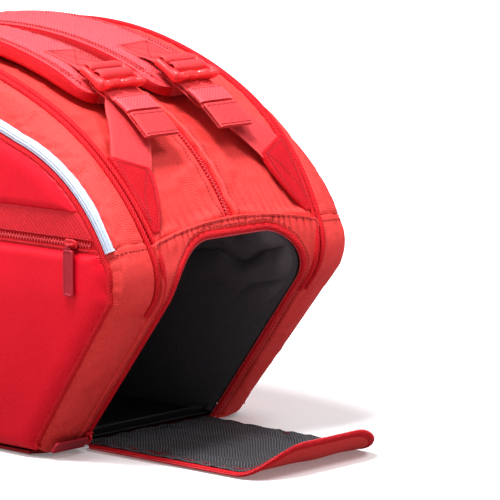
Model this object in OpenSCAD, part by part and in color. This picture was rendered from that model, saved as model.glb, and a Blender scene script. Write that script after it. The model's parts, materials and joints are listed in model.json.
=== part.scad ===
// Racket tournament bag: a soft holdall with two side racket compartments, a centre
// compartment, a shoe tunnel with a drop-down flap at one end, and backpack straps.
// X runs along the bag with the shoe end at +X, Y across it, Z up.
// The origin is the centre of the base, on the ground. "near" is the -Y side.

/* [Overall shape] */
// Height of the cord line at mid-length
top_h = 335; // [325:1:345]
// Radius of the long arc over the top
top_r = 388; // [380:1:396]
// Radius of the shoulder arc towards each end
shoulder_r = 233; // [228:1:238]
// Radius of the nose at each end
nose_r = 43; // [40:1:46]
// Where the top arc hands over to the shoulder arc, in degrees from upright
top_turn = 28.7; // [28:0.1:29.5]
// Where the shoulder arc hands over to the nose
shoulder_turn = 66.2; // [65:0.1:67]
// Direction of the straight lower end
slope_turn = 127; // [126:0.5:128]
// Radius of the corner between the end and the base
base_r = 14; // [12:1:16]
// Half width of the side walls at the base
base_half_w = 124; // [120:1:126]
// Extra half width of the side walls above the pocket
side_bulge = 15; // [12:1:17]

/* [Fabric panels] */
// Thickness of the padded fabric panels
wall = 4.5; // [3.5:0.5:5]
// How far the moulded side panels stand out of the wall
mould_out = 6; // [4:0.5:7]
// How far the top dishes between the two cord lines
top_sag = 12; // [8:1:14]
// Diameter of the piping around each side wall
piping_d = 5; // [4:0.5:5]

/* [Shoe compartment] */
// Width of the shoe opening
mouth_w = 154; // [146:2:158]
// Height of the shoe opening
mouth_h = 182; // [178:1:184]
// Radius of the opening's top corners
mouth_r = 45; // [40:1:50]
// How far the shoe tunnel reaches into the bag from the centre
tunnel_back = 70; // [50:5:90]

/* [Straps] */
// Distance of each strap's centre line from the middle of the bag
strap_y = 44.5; // [44:0.5:46]
// Width of the strap pads
pad_w = 73; // [68:1:74]
// Thickness of the strap pads
pad_t = 15; // [13:1:16]
// Width of the strap webbing
webbing_w = 38; // [36:1:38]
// Thickness of the webbing
webbing_t = 2; // [1.8:0.1:2.2]

/* [Zips] */
// Length of a zip puller
pull_l = 38; // [34:1:40]
// Width of a zip puller
pull_w = 11; // [9:0.5:11]
// Position of the pocket sliders along the bag
pocket_slider_x = 238; // [200:1:240]

/* [Hidden] */
$fn = 32;

near = -1;
far = 1;
gap = 0.6;

// --- End profile: a chain of tangent arcs and one straight, seen from the side ---

function turn_pt(p, r, a0, a) = [p.x + r * (sin(a) - sin(a0)), p.y - r * (cos(a0) - cos(a))];
function arc_len(r, a0, a1) = r * (a1 - a0) * PI / 180;

start_p = [0, top_h];
shoulder_p = turn_pt(start_p, top_r, 0, top_turn);
nose_p = turn_pt(shoulder_p, shoulder_r, top_turn, shoulder_turn);
slope_p = turn_pt(nose_p, nose_r, shoulder_turn, slope_turn);
foot_z = base_r * (1 + cos(slope_turn));
slope_len = (slope_p.y - foot_z) / sin(slope_turn);
foot_p = slope_p + slope_len * [cos(slope_turn), -sin(slope_turn)];
base_x = foot_p.x - base_r * sin(slope_turn);

s_shoulder = arc_len(top_r, 0, top_turn);
s_nose = s_shoulder + arc_len(shoulder_r, top_turn, shoulder_turn);
s_slope = s_nose + arc_len(nose_r, shoulder_turn, slope_turn);
s_foot = s_slope + slope_len;
s_base = s_foot + arc_len(base_r, slope_turn, 180);

// Direction of the profile at arc length s from the top, 0 on top and 180 under the base
function turn_at(s) =
    s < s_shoulder ? s / top_r * 180 / PI :
    s < s_nose ? top_turn + (s - s_shoulder) / shoulder_r * 180 / PI :
    s < s_slope ? shoulder_turn + (s - s_nose) / nose_r * 180 / PI :
    s < s_foot ? slope_turn :
    slope_turn + (s - s_foot) / base_r * 180 / PI;

function profile_at(s) =
    s < s_shoulder ? turn_pt(start_p, top_r, 0, turn_at(s)) :
    s < s_nose ? turn_pt(shoulder_p, shoulder_r, top_turn, turn_at(s)) :
    s < s_slope ? turn_pt(nose_p, nose_r, shoulder_turn, turn_at(s)) :
    s < s_foot ? slope_p + (s - s_slope) * [cos(slope_turn), -sin(slope_turn)] :
    turn_pt(foot_p, base_r, slope_turn, turn_at(s));

// Point of the profile moved inwards; negative s is the rear half
function outline(s, inset = 0) =
    let (p = profile_at(abs(s)), a = turn_at(abs(s)))
    [sign(s) * (p.x - inset * sin(a)), p.y - inset * cos(a)];

function stations(s0, s1, n) = [for (i = [0:n]) s0 + (s1 - s0) * i / n];

// Arc length at which the shoulder or nose passes height z
function s_at_z(z, lo = 0, hi = 600, n = 24) =
    n == 0 ? (lo + hi) / 2 :
    profile_at((lo + hi) / 2).y > z ? s_at_z(z, (lo + hi) / 2, hi, n - 1) :
    s_at_z(z, lo, (lo + hi) / 2, n - 1);

function s_at_x(x, lo = 0, hi = 340, n = 24) =
    n == 0 ? (lo + hi) / 2 :
    profile_at((lo + hi) / 2).x < x ? s_at_x(x, (lo + hi) / 2, hi, n - 1) :
    s_at_x(x, lo, (lo + hi) / 2, n - 1);

// --- Skin of the bag: v = 0 middle, 1 cord line, 2 shoulder edge, 3 piping ---

// The cord lines spread apart with height by cord_lean, and are cord_half_w out at cord_ref_z
cord_lean = 0.14;
cord_half_w = 97;
cord_ref_z = 170;
// How far the shoulder edge lies below the cord line on top, and the piping below that
shoulder_drop = 31;
drop_fade = 4.5;
foot_flare = 7.4;
side_tuck = 19;
edge_round = 5;
// The side walls reach their full width at this height
full_width_z = 200;
seam_z = 186;
s_seam = s_at_z(seam_z);
seam_rise = 10;

function cord_y(z) = max(cord_half_w - 5, cord_half_w + cord_lean * (z - cord_ref_z));
function side_y(z) = base_half_w + side_bulge * sin(90 * min(1, z / full_width_z));
function sag_at(s) = top_sag * pow(max(0, cos(1.5 * turn_at(abs(s)))), 3);
function drop_at(s) =
    let (a = turn_at(abs(s)))
    a < 90 ? shoulder_drop * pow(cos(a), drop_fade) :
    a < slope_turn ? -foot_flare * pow(cos(a) / cos(slope_turn), 3) :
    -foot_flare * (180 - a) / (180 - slope_turn);
function tuck_at(s) =
    let (a = turn_at(abs(s)))
    a > slope_turn ? side_tuck * (180 - a) / (180 - slope_turn) : side_tuck;

function inset_at(s, v) =
    v < 1 ? sag_at(s) * (1 - v * v) :
    v < 2 ? max(0, drop_at(s)) * (v - 1) + edge_round * (v - 1) * (v - 1) :
    max(0, drop_at(s)) + edge_round
        + (tuck_at(s) - edge_round + min(0, drop_at(s))) * (v - 2);

function skin_y(z, v) =
    v < 1 ? v * cord_y(z) :
    v < 2 ? cord_y(z) + (side_y(z) - 4 - cord_y(z)) * (1 - pow(2 - v, 1.5)) :
    side_y(z) - 4 + 4 * (v - 2);

function skin0(s, v) =
    let (o = outline(s, inset_at(s, abs(v))))
    [o.x, sign(v) * skin_y(o.y, abs(v)), o.y];

function unit(a) = a / norm(a);
function skin_n(s, v) =
    let (ds = skin0(s + 0.5, v) - skin0(s - 0.5, v), dv = skin0(s, v + 0.01) - skin0(s, v - 0.01))
    unit(cross(ds, dv));

// Point of the skin moved outwards by h
function skin(s, v, h = 0) = skin0(s, v) + h * skin_n(s, v);

// Point over the top between the cord lines, at a real distance y from the middle
function top_pt(s, y, h = 0) = skin(s, y / cord_y(outline(s).y), h);

// --- Solids from rings of points ---

function quads(a, b, c, d) = [[a, b, c], [a, c, d]];
function sum(v, i = 0) = i >= len(v) ? 0 : v[i] + sum(v, i + 1);

// A closed solid through rings of points; each ring runs out along one face and back
module loft(rings) {
    n = len(rings);
    m = len(rings[0]);
    pts = [for (r = rings) each r];
    walls = [for (i = [0:n - 2], j = [0:m - 1])
        each quads(i * m + j, i * m + (j + 1) % m, (i + 1) * m + (j + 1) % m, (i + 1) * m + j)];
    cap0 = [for (j = [0:m / 2 - 2]) each quads(m - 1 - j, m - 2 - j, j + 1, j)];
    cap1 = [for (f = cap0) [for (k = [2:-1:0]) (n - 1) * m + f[k]]];
    faces = concat(walls, cap0, cap1);
    volume = sum([for (f = faces) pts[f[0]] * cross(pts[f[1]], pts[f[2]])]);
    polyhedron(pts, volume < 0 ? faces : [for (f = faces) [f[2], f[1], f[0]]], convexity = 8);
}

// Part of the skin between two v values, from height h0 to h1
module skin_patch(s_list, v0, v1, cols, h0, h1)
    loft([for (s = s_list) concat(
        [for (j = [0:cols]) skin(s, v0 + (v1 - v0) * j / cols, h1)],
        [for (j = [cols:-1:0]) skin(s, v0 + (v1 - v0) * j / cols, h0)])]);

// Cord lying on the skin, of six sides
module cord(s_list, v, v_half, h, r)
    loft([for (s = s_list) [for (k = [0:5]) skin(s, v + v_half * cos(60 * k), h + r * sin(60 * k))]]);

// Turns a side-view shape (x, z) into a slab between y0 and y1
module slab(y0, y1)
    translate([0, y1, 0]) rotate([90, 0, 0]) linear_extrude(y1 - y0) children();

// Turns an end-view shape (y, z) into a bar between x0 and x1
module bar_x(x0, x1)
    translate([x0, 0, 0]) rotate([90, 0, 90]) linear_extrude(x1 - x0) children();

// Side view of a strip that follows the profile, between two insets
module strip_2d(s0, s1, d0, d1, n = 24)
    polygon(concat([for (s = stations(s0, s1, n)) outline(s, d0)],
        [for (s = stations(s1, s0, n)) outline(s, d1)]));

// --- Base ---

module base_panel()
    color("firebrick")
    difference() {
        translate([-base_x + gap, -base_half_w + 1.5, 0])
            cube([2 * base_x - 2 * gap, 2 * base_half_w - 3, 4]);
        for (sx = [-1, 1], sy = [-1, 1])
            translate([sx * (base_x - 6), sy * (base_half_w - 7), -1]) rotate(45 * sx * sy)
                translate([sx > 0 ? 6 : -16, -20, 0]) cube([10, 40, 8]);
    }

board_x = 162;
board_y = 114;
module base_board()
    color("dimgray") translate([-board_x, -board_y, 4.6]) cube([2 * board_x, 2 * board_y, 3]);

// --- Top: centre panels and the zip between them ---

zip_half = 5;
seam_arch_r = 420;
panel_v0 = 0.056;
panel_v1 = 0.945;
s_top_end = s_at_z(seam_z + seam_rise);

// The seam over each end is an arch, so the top runs a little further at its edges
function s_end_at(v) =
    s_at_z(seam_z + seam_rise - pow(v * cord_y(seam_z), 2) / (2 * seam_arch_r)) - 2.5;

function panel_row(k, side, h) =
    [for (j = [0:4]) let (v = panel_v0 + (panel_v1 - panel_v0) * j / 4)
        skin(k * s_end_at(v), side * v, h)];

function reversed(v) = [for (i = [len(v) - 1:-1:0]) v[i]];

module centre_panel(side)
    color("tomato")
    loft([for (k = stations(-1, 1, 40))
        concat(panel_row(k, side, 0), reversed(panel_row(k, side, -wall)))]);

module centre_panel_near() centre_panel(near);
module centre_panel_far() centre_panel(far);

module centre_zip()
    color("crimson")
    loft([for (s = stations(-s_top_end + 2, s_top_end - 2, 40))
        [for (p = [[-zip_half, -3.5], [-zip_half, -2.2], [-2.6, -1.8], [-2, -0.8], [2, -0.8],
            [2.6, -1.8], [zip_half, -2.2], [zip_half, -3.5]]) top_pt(s, p.x, p.y)]]);

// --- Hidden zips: two covered cords along each cord line ---

s_hidden_end = s_slope + 12;

function hidden_stations() = concat(stations(-s_hidden_end, -s_nose, 9),
    stations(-s_nose + 8, s_nose - 8, 44), stations(s_nose, s_hidden_end, 9));

module hidden_zip(side, v, v_half, r) color("red") cord(hidden_stations(), side * v, v_half, -1, r);

module hidden_zip_inner_near() hidden_zip(near, 0.972, 0.022, 2.4);
module hidden_zip_inner_far() hidden_zip(far, 0.972, 0.022, 2.4);
module hidden_zip_outer_near() hidden_zip(near, 1.085, 0.042, 2);
module hidden_zip_outer_far() hidden_zip(far, 1.085, 0.042, 2);

// --- Gussets between the cord lines and the side walls ---

gusset_v0 = 1.17;
band_v0 = 2.02;
band_v1 = 2.68;

module upper_gusset(side)
    color("tomato")
    skin_patch(stations(-s_seam + 1, s_seam - 1, 44), side * gusset_v0, side * 1.86, 3, -wall, 0);

module upper_gusset_near() upper_gusset(near);
module upper_gusset_far() upper_gusset(far);

module lower_gusset(side, end)
    color("tomato")
    loft([for (s = concat(stations(s_seam, s_hidden_end, 8), [s_hidden_end + 5],
            stations(s_hidden_end + 25, s_foot - 2, 5)))
        let (v0 = s > s_hidden_end ? 1.02 : gusset_v0, v1 = 2.6)
        concat([for (j = [0:6]) skin(end * s, side * (v0 + (v1 - v0) * j / 6), 0)],
            [for (j = [6:-1:0]) skin(end * s, side * (v0 + (v1 - v0) * j / 6), -wall)])]);

module lower_gusset_near_shoe() lower_gusset(near, 1);
module lower_gusset_far_shoe() lower_gusset(far, 1);
module lower_gusset_near_rear() lower_gusset(near, -1);
module lower_gusset_far_rear() lower_gusset(far, -1);

module white_band(side)
    color("white")
    skin_patch(stations(-s_seam + 1, s_seam - 1, 44), side * band_v0, side * band_v1, 1, -3, 0.4);

module white_band_near() white_band(near);
module white_band_far() white_band(far);

module piping(side)
    color("red")
    cord(concat(stations(-s_foot, -s_slope, 6), stations(-s_slope + 6, -s_nose, 7),
        stations(-s_nose + 8, s_nose - 8, 40), stations(s_nose, s_slope - 6, 7),
        stations(s_slope, s_foot, 6)), side * 2.84, 0.13, -0.5, piping_d / 2);

module piping_near() piping(near);
module piping_far() piping(far);

// --- Side walls: rows at constant height inside the piping ---

wall_table = [for (s = stations(s_foot, 0, 90)) let (p = outline(s, inset_at(s, 3))) [p.y, p.x]];
function wall_x(z) = lookup(z, wall_table) - 3.5;

module side_rows(side, z_list, out, thick)
    loft([for (z = z_list) concat(
        [for (t = [-1, -0.94, -0.6, 0, 0.6, 0.94, 1])
            [t * wall_x(z), side * (side_y(z) + (abs(t) == 1 ? min(out, 1.5) : out)), z]],
        [for (t = [1, 0.94, 0.6, 0, -0.6, -0.94, -1])
            [t * wall_x(z), side * (side_y(z) + out - thick), z]])]);

pocket_z = 184.5;
pocket_half = 5.5;
strip_top = 209;
wall_top = profile_at(0).y - inset_at(0, 3) - 4.5;

module upper_panel(side)
    color("crimson")
    side_rows(side, [for (i = [0:10]) strip_top + (wall_top - strip_top) * sin(9 * i)], mould_out, 8);

module upper_panel_near() upper_panel(near);
module upper_panel_far() upper_panel(far);

module ribbed_strip(side)
    color("indianred")
    side_rows(side, stations(pocket_z + pocket_half + gap, strip_top - gap, 2), 3, 4);

module ribbed_strip_near() ribbed_strip(near);
module ribbed_strip_far() ribbed_strip(far);

module pocket_zip(side)
    color("firebrick")
    side_rows(side, stations(pocket_z - pocket_half, pocket_z + pocket_half, 2), 2.8, 4);

module pocket_zip_near() pocket_zip(near);
module pocket_zip_far() pocket_zip(far);

module lower_panel(side)
    color("crimson")
    side_rows(side, stations(6, pocket_z - pocket_half - gap, 12), mould_out, 8);

module lower_panel_near() lower_panel(near);
module lower_panel_far() lower_panel(far);

// --- End panels ---

// Opening seen from the end, grown by margin
module mouth_2d(margin = 0) {
    w = mouth_w / 2 + margin;
    h = mouth_h + margin;
    r = mouth_r + margin;
    translate([-w, -40]) square([2 * w, h - r + 40]);
    translate([-(w - r), -40]) square([2 * (w - r), h + 40]);
    for (sy = [-1, 1])
        translate([sy * (w - r), h - r]) circle(r, $fn = 64);
}

cord_end_z = profile_at(s_hidden_end).y - 4;
field_z = [-5, cord_end_z, cord_end_z + 0.1, 134, seam_z + 15];

// Space between the cord lines seen from the end, with the arched upper seam
module end_field_2d()
    intersection() {
        polygon([for (sy = [-1, 1], z = sy < 0 ? field_z : reversed(field_z))
            [sy * (cord_y(z) - (z > cord_end_z ? 5.4 : gap)), z]]);
        union() {
            translate([0, seam_z + seam_rise - gap - seam_arch_r])
                circle(seam_arch_r, $fn = 180);
            translate([-120, -5]) square([240, 160]);
        }
    }

module end_panel(end)
    intersection() {
        slab(-110, 110) mirror([end < 0 ? 1 : 0, 0]) strip_2d(s_top_end - 8, s_foot, 0, wall, 40);
        bar_x(end > 0 ? 150 : -320, end > 0 ? 320 : -150) end_field_2d();
    }

module shoe_end_panel()
    color("tomato")
    difference() {
        end_panel(1);
        bar_x(100, 400) mouth_2d(zip_edge);
    }

module rear_end_panel() color("tomato") end_panel(-1);

// --- Shoe compartment ---

zip_edge = 5;

module shoe_opening_zip()
    color("red")
    intersection() {
        slab(-110, 110) strip_2d(s_nose - 30, s_foot, 1, 3.6, 40);
        bar_x(150, 320) difference() {
            mouth_2d(zip_edge - gap);
            mouth_2d();
        }
    }

module shoe_tunnel()
    color("gray")
    intersection() {
        union() {
            bar_x(-tunnel_back, 300) difference() {
                tunnel_2d(3);
                tunnel_2d(1.4);
            }
            bar_x(-tunnel_back - 1.6, -tunnel_back) tunnel_2d(3);
        }
        slab(-110, 110) polygon(concat([[-200, -5], [-200, 300]],
            [for (s = stations(s_nose - 100, s_foot, 30)) outline(s, wall + 4)], [[140, -5]]));
    }

module tunnel_2d(margin)
    intersection() {
        mouth_2d(margin);
        translate([-100, 11.2 - margin]) square([200, 300]);
    }

// The flap is drawn closed, as a piece of the end profile, then laid open on the ground
hinge_x = foot_p.x + foot_z * cos(slope_turn) / sin(slope_turn);
hinge_z = 0.6;
flap_open = 180 - slope_turn;

module laid_open()
    translate([hinge_x, 0, hinge_z]) rotate([0, flap_open, 0]) translate([-hinge_x, 0, -hinge_z])
        children();

module flap_layer(d0, d1)
    laid_open() intersection() {
        slab(-110, 110) strip_2d(s_nose - 40, s_foot - 2, d0, d1, 40);
        bar_x(150, 320) children();
    }

flap_gap = 0.8;
flap_zip_w = 5.6;

module flap_shell() color("tomato") flap_layer(0, 3.6) mouth_2d(-flap_gap - flap_zip_w - gap);

module flap_lining() color("dimgray") flap_layer(3.8, 5.2) mouth_2d(-flap_gap - flap_zip_w - gap);

module flap_zip()
    color("red")
    flap_layer(0.8, 3.4) difference() {
        mouth_2d(-flap_gap);
        mouth_2d(-flap_gap - flap_zip_w);
    }

// --- Dividers between the compartments ---

divider_y = 83;
divider_t = 3.5;
divider_inset = 18;
divider_z = 9;

module divider(side)
    color("dimgray")
    slab(side > 0 ? divider_y : -divider_y - divider_t, side > 0 ? divider_y + divider_t : -divider_y)
        intersection() {
            polygon([for (s = stations(-s_foot, s_foot, 80)) outline(s, divider_inset)]);
            translate([-300, divider_z]) square([600, 400]);
        }

module divider_near() divider(near);
module divider_far() divider(far);

// --- Shoulder straps ---

pad_s0 = -205;
pad_s1 = 193;
pad_round = 34;

function pad_half(s) =
    let (e = min(1, max(0, (s - (pad_s1 - pad_round)) / pad_round)))
    pad_w / 2 * (s > pad_s1 - pad_round ? 0.45 + 0.55 * sqrt(max(0, 1 - e * e)) : 1);

module strap_pad(side)
    color("coral")
    loft([for (s = concat(stations(pad_s0, pad_s1 - pad_round, 26),
        [for (a = [15:15:90]) pad_s1 - pad_round + pad_round * sin(a)]))
        let (w = pad_half(s), t = pad_t * (s > pad_s1 - 30 ? 0.7 : 1))
        [for (p = [[-w + 2, 1], [-w, 4], [-w, t - 4], [-w + 4, t], [0, t + 1], [w - 4, t],
            [w, t - 4], [w, 4], [w - 2, 1], [0, 1]]) top_pt(s, side * strap_y + p.x, p.y)]]);

module strap_pad_near() strap_pad(near);
module strap_pad_far() strap_pad(far);

// Frame on the top surface at arc length s and distance y: local x along, z outwards
module on_top(s, y)
    translate(top_pt(s, y)) rotate([0, turn_at(abs(s)) * sign(s), 0]) children();

buckle_s = 190;
buckle_h = 20.5;

// Point near the ladder lock: x along from its centre, y from the strap's centre line,
// h above the surface. It follows the lock's own flat frame close to the lock.
lock_reach = 24.6;
lock_turn = turn_at(buckle_s);
function lock_pt(side, x, y, h) =
    abs(x) > lock_reach ? top_pt(buckle_s + x, side * (strap_y + y), h) :
    top_pt(buckle_s, side * strap_y) + side * [0, y, 0]
        + x * [cos(lock_turn), 0, -sin(lock_turn)] + h * [sin(lock_turn), 0, cos(lock_turn)];

// Ring of a webbing at lock point (x, y, h), heading up by angle a
function webbing_ring(side, x, y, h, a, skew = 0) =
    [for (p = [[-1, 1], [1, 1], [1, -1], [-1, -1]])
        lock_pt(side, x - p.y * webbing_t / 2 * sin(a) + skew * p.x, y + p.x * webbing_w / 2,
            h + p.y * webbing_t / 2 * cos(a))];

// Webbing sewn to the pad and turned round the rear bar of the ladder lock:
// distance from the lock's centre, height and heading
patch_path = [[-65, 18, 0], [-24.5, 18, 0], [-21.8, 19.5, 50], [-20.5, 23, 90], [-19.5, 26, 50],
    [-16.5, 27.2, 0], [-13.4, 26.4, -50], [-12.6, 23.2, -90], [-12.6, 19.5, -90]];

module strap_patch(side)
    color("tomato")
    loft([for (p = patch_path) webbing_ring(side, p.x, 0, p.y, p.z)]);

module strap_patch_near() strap_patch(near);
module strap_patch_far() strap_patch(far);

// The lock reaches from its rear bar to its front lip; its middle bar is between the slots
lock_w = 50;
lock_rear = -16.5;
lock_front = 8;
lock_t = 5;
rear_bar_d = 4.6;
rear_slot = [-14.4, -7.2];
front_slot = [-1.2, 4.8];
slot_w = webbing_w + 2;

module lock_slot(span) translate([span.x, -slot_w / 2, -2]) cube([span.y - span.x, slot_w, 10]);

module ladder_lock(side)
    color("coral")
    on_top(buckle_s, side * strap_y) translate([0, 0, buckle_h])
        difference() {
            union() {
                translate([lock_rear, -lock_w / 2, 0]) cube([lock_front - lock_rear, lock_w, lock_t]);
                translate([lock_front, lock_w / 2, lock_t / 2]) rotate([90, 0, 0])
                    cylinder(d = lock_t + 2, h = lock_w);
                translate([lock_rear, lock_w / 2, lock_t / 2]) rotate([90, 0, 0])
                    cylinder(d = rear_bar_d, h = lock_w);
            }
            lock_slot(rear_slot);
            lock_slot(front_slot);
        }

module ladder_lock_near() ladder_lock(near);
module ladder_lock_far() ladder_lock(far);

// A wing runs along the cord line between these two places, in from it to wing_y
wing_y = 68;
wing_s0 = s_at_x(240);
wing_s1 = s_at_x(279);

// From under the lock up through its rear slot, over the middle bar, down the front
// slot and out under the front bar: distance from the lock's centre, height, heading
wrap_path = [[-4, 14, 180], [-7.2, 15, 135], [-9.2, 18, 90], [-9.2, 24, 90], [-8, 26.8, 45],
    [-5, 28, 0], [-2.6, 28, 0], [-0.4, 26.5, -45], [0.8, 23, -90], [2.2, 19.2, -45],
    [5, 17.6, 0], [13, 17.6, 0]];
// The lower webbing runs on from run_start for run_len, shifting outwards; the tail is free
run_start = 17;
run_len = 67;
run_shift = 42;
tail_start = 13;
tail_len = 50;

module adjuster_webbing(side)
    color("salmon")
    loft(concat(
        [for (i = [8:-1:1]) let (k = i / 8)
            webbing_ring(side, run_start + run_len * k, run_shift * k, 14 - 9 * pow(k, 0.7), 180,
                -8 * k)],
        [webbing_ring(side, 12, 0, 14, 180)],
        [for (p = wrap_path) webbing_ring(side, p.x, 0, p.y, p.z)],
        [for (i = [1:5]) webbing_ring(side, tail_start + tail_len * i / 5, 0, 17.6 - 0.6 * i, 0)]));

module adjuster_webbing_near() adjuster_webbing(near);
module adjuster_webbing_far() adjuster_webbing(far);

module wing(side)
    color("firebrick")
    loft([for (i = [0:6])
        let (k = i / 6, s_out = wing_s0 + (wing_s1 - wing_s0) * k,
            s_in = s_out + 16 * (1 - k), y_out = cord_y(outline(s_out).y) - 6,
            y_in = wing_y + (y_out - 8 - wing_y) * k * k)
        [for (p = [[0, 2.8], [1, 2.8], [1, 0.4], [0, 0.4]])
            top_pt(s_in + (s_out - s_in) * p.x, side * (y_in + (y_out - y_in) * p.x), p.y)]]);

module wing_near() wing(near);
module wing_far() wing(far);

// --- Rear grab handle: a webbing loop hanging from two sewn anchors ---

handle_z = 160;
handle_half = 52;
handle_x = -profile_at(s_at_z(handle_z)).x - 1;
handle_drop = 34;
handle_w = 20;

module rear_handle_anchors()
    color("firebrick")
    for (sy = [-1, 1])
        translate([handle_x - 1.6, sy * handle_half - handle_w / 2, handle_z - 3])
            cube([1.6, handle_w, 20]);

module rear_handle()
    color("tomato") {
        for (sy = [-1, 1])
            translate([handle_x - 5, sy * handle_half - handle_w / 2, handle_z - handle_drop])
                cube([2.4, handle_w, handle_drop - 1]);
        translate([handle_x - 9, -handle_half - handle_w / 2, handle_z - handle_drop - 18])
            cube([7, 2 * handle_half + handle_w, 20]);
    }

// --- Zip sliders and pullers, drawn with the zip along x and the outside at +z ---

// bridge_turn swings the bridge that holds the puller: 90 lets it lie along the zip
module slider_body(bridge_turn = 0) {
    translate([-6, -4, 0]) cube([12, 8, 2.4]);
    rotate(bridge_turn) {
        for (x = [-4.8, 3.2])
            translate([x, -1.5, 2.2]) cube([1.6, 3, 3]);
        translate([-4.8, 0, pin_h]) rotate([0, 90, 0]) cylinder(d = 2.2, h = 9.6, $fn = 24);
    }
}

pin_h = 5;
bridge_gap = 2.6;

// Puller hanging towards -y from the slider's bridge
module puller()
    translate([0, 0, pin_h]) {
        difference() {
            union() {
                translate([-bridge_gap, -4, -2.2]) cube([2 * bridge_gap, 4, 4.4]);
                translate([-bridge_gap, 0, 0]) rotate([0, 90, 0])
                    cylinder(d = 4.4, h = 2 * bridge_gap, $fn = 24);
            }
            translate([-6, 0, 0]) rotate([0, 90, 0]) cylinder(d = 2.6, h = 12, $fn = 24);
        }
        translate([-pull_w / 2, -3.5 - pull_l, -1.25]) cube([pull_w, pull_l, 2.5]);
    }

module at_pocket(side)
    translate([pocket_slider_x, side * (side_y(pocket_z) + 3.2), pocket_z])
        rotate([side < 0 ? 90 : -90, 0, 0]) rotate(side < 0 ? 0 : 180) children();

module pocket_slider_near() color("crimson") at_pocket(near) slider_body();
module pocket_slider_far() color("crimson") at_pocket(far) slider_body();
module pocket_pull_near() color("darkred") at_pocket(near) puller();
module pocket_pull_far() color("darkred") at_pocket(far) puller();

// The middle of the top is close to this circle, so the centre slider turns about its centre
mid_sag_x = 130;
mid_drop = skin0(0, 0).z - skin0(s_at_x(134), 0).z;
mid_r = (mid_sag_x * mid_sag_x + mid_drop * mid_drop) / (2 * mid_drop);
mid_centre_z = skin0(0, 0).z - mid_r;
centre_slider_a = -8;

module at_centre()
    translate([0, 0, mid_centre_z]) rotate([0, centre_slider_a, 0]) translate([0, 0, mid_r + 0.6])
        children();

module centre_slider() color("crimson") at_centre() slider_body(90);
module centre_pull() color("darkred") at_centre() rotate(-90) puller();

hidden_centre = [0, cord_half_w + cord_lean * (top_h - top_r - cord_ref_z), top_h - top_r];
hidden_slider_a = -16;
cord_tilt = atan(cord_lean);

module at_hidden(side)
    translate([0, side * hidden_centre.y, hidden_centre.z])
        rotate([-side * cord_tilt, 0, 0]) rotate([0, hidden_slider_a, 0])
            translate([0, 0, top_r / cos(cord_tilt) + 2.6]) children();

module hidden_slider_near() color("crimson") at_hidden(near) slider_body(90);
module hidden_slider_far() color("crimson") at_hidden(far) slider_body(90);
module hidden_pull_near() color("darkred") at_hidden(near) rotate(-90) puller();
module hidden_pull_far() color("darkred") at_hidden(far) rotate(-90) puller();

shoe_slider_s = s_foot - 10;
shoe_slider_y = -mouth_w / 2 - 5.5;

module at_shoe()
    translate([outline(shoe_slider_s, -0.8).x, shoe_slider_y, outline(shoe_slider_s, -0.8).y])
        rotate([0, slope_turn, 0]) children();

module shoe_slider() color("crimson") at_shoe() slider_body();
module shoe_pull() color("darkred") at_shoe() puller();

base_panel();
base_board();
centre_panel_near();
centre_panel_far();
centre_zip();
hidden_zip_inner_near();
hidden_zip_inner_far();
hidden_zip_outer_near();
hidden_zip_outer_far();
upper_gusset_near();
upper_gusset_far();
lower_gusset_near_shoe();
lower_gusset_far_shoe();
lower_gusset_near_rear();
lower_gusset_far_rear();
white_band_near();
white_band_far();
piping_near();
piping_far();
upper_panel_near();
upper_panel_far();
ribbed_strip_near();
ribbed_strip_far();
pocket_zip_near();
pocket_zip_far();
lower_panel_near();
lower_panel_far();
shoe_end_panel();
rear_end_panel();
shoe_tunnel();
shoe_opening_zip();
flap_shell();
flap_lining();
flap_zip();
divider_near();
divider_far();
strap_pad_near();
strap_pad_far();
strap_patch_near();
strap_patch_far();
ladder_lock_near();
ladder_lock_far();
adjuster_webbing_near();
adjuster_webbing_far();
wing_near();
wing_far();
rear_handle();
rear_handle_anchors();
pocket_slider_near();
pocket_slider_far();
pocket_pull_near();
pocket_pull_far();
centre_slider();
centre_pull();
hidden_slider_near();
hidden_slider_far();
hidden_pull_near();
hidden_pull_far();
shoe_slider();
shoe_pull();
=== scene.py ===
import math

import bpy
import numpy as np
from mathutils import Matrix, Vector
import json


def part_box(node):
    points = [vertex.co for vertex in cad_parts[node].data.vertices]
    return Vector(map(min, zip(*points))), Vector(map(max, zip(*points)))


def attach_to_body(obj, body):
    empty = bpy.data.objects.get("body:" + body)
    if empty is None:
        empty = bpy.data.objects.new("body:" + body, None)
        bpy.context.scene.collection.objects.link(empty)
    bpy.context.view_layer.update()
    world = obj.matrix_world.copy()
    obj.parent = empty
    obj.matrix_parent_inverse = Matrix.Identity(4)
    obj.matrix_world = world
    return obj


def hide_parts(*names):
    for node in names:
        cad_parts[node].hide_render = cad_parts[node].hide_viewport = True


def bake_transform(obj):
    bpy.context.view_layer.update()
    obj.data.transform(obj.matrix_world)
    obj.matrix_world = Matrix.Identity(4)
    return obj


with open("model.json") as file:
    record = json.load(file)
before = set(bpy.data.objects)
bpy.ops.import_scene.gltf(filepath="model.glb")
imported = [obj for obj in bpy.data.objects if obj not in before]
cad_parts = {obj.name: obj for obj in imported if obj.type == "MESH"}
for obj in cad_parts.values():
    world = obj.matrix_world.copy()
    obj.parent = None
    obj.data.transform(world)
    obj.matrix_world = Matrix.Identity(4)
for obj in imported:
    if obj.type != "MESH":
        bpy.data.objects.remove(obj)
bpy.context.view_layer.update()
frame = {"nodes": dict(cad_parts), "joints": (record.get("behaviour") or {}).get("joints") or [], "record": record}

NEAR, FAR = -1, 1
SIDES = {"near": NEAR, "far": FAR}


def joint(name):
    return next(j for j in frame["joints"] if j["name"] == name)


# --- Shape of the bag, the same rules as the CAD source ---

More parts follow.
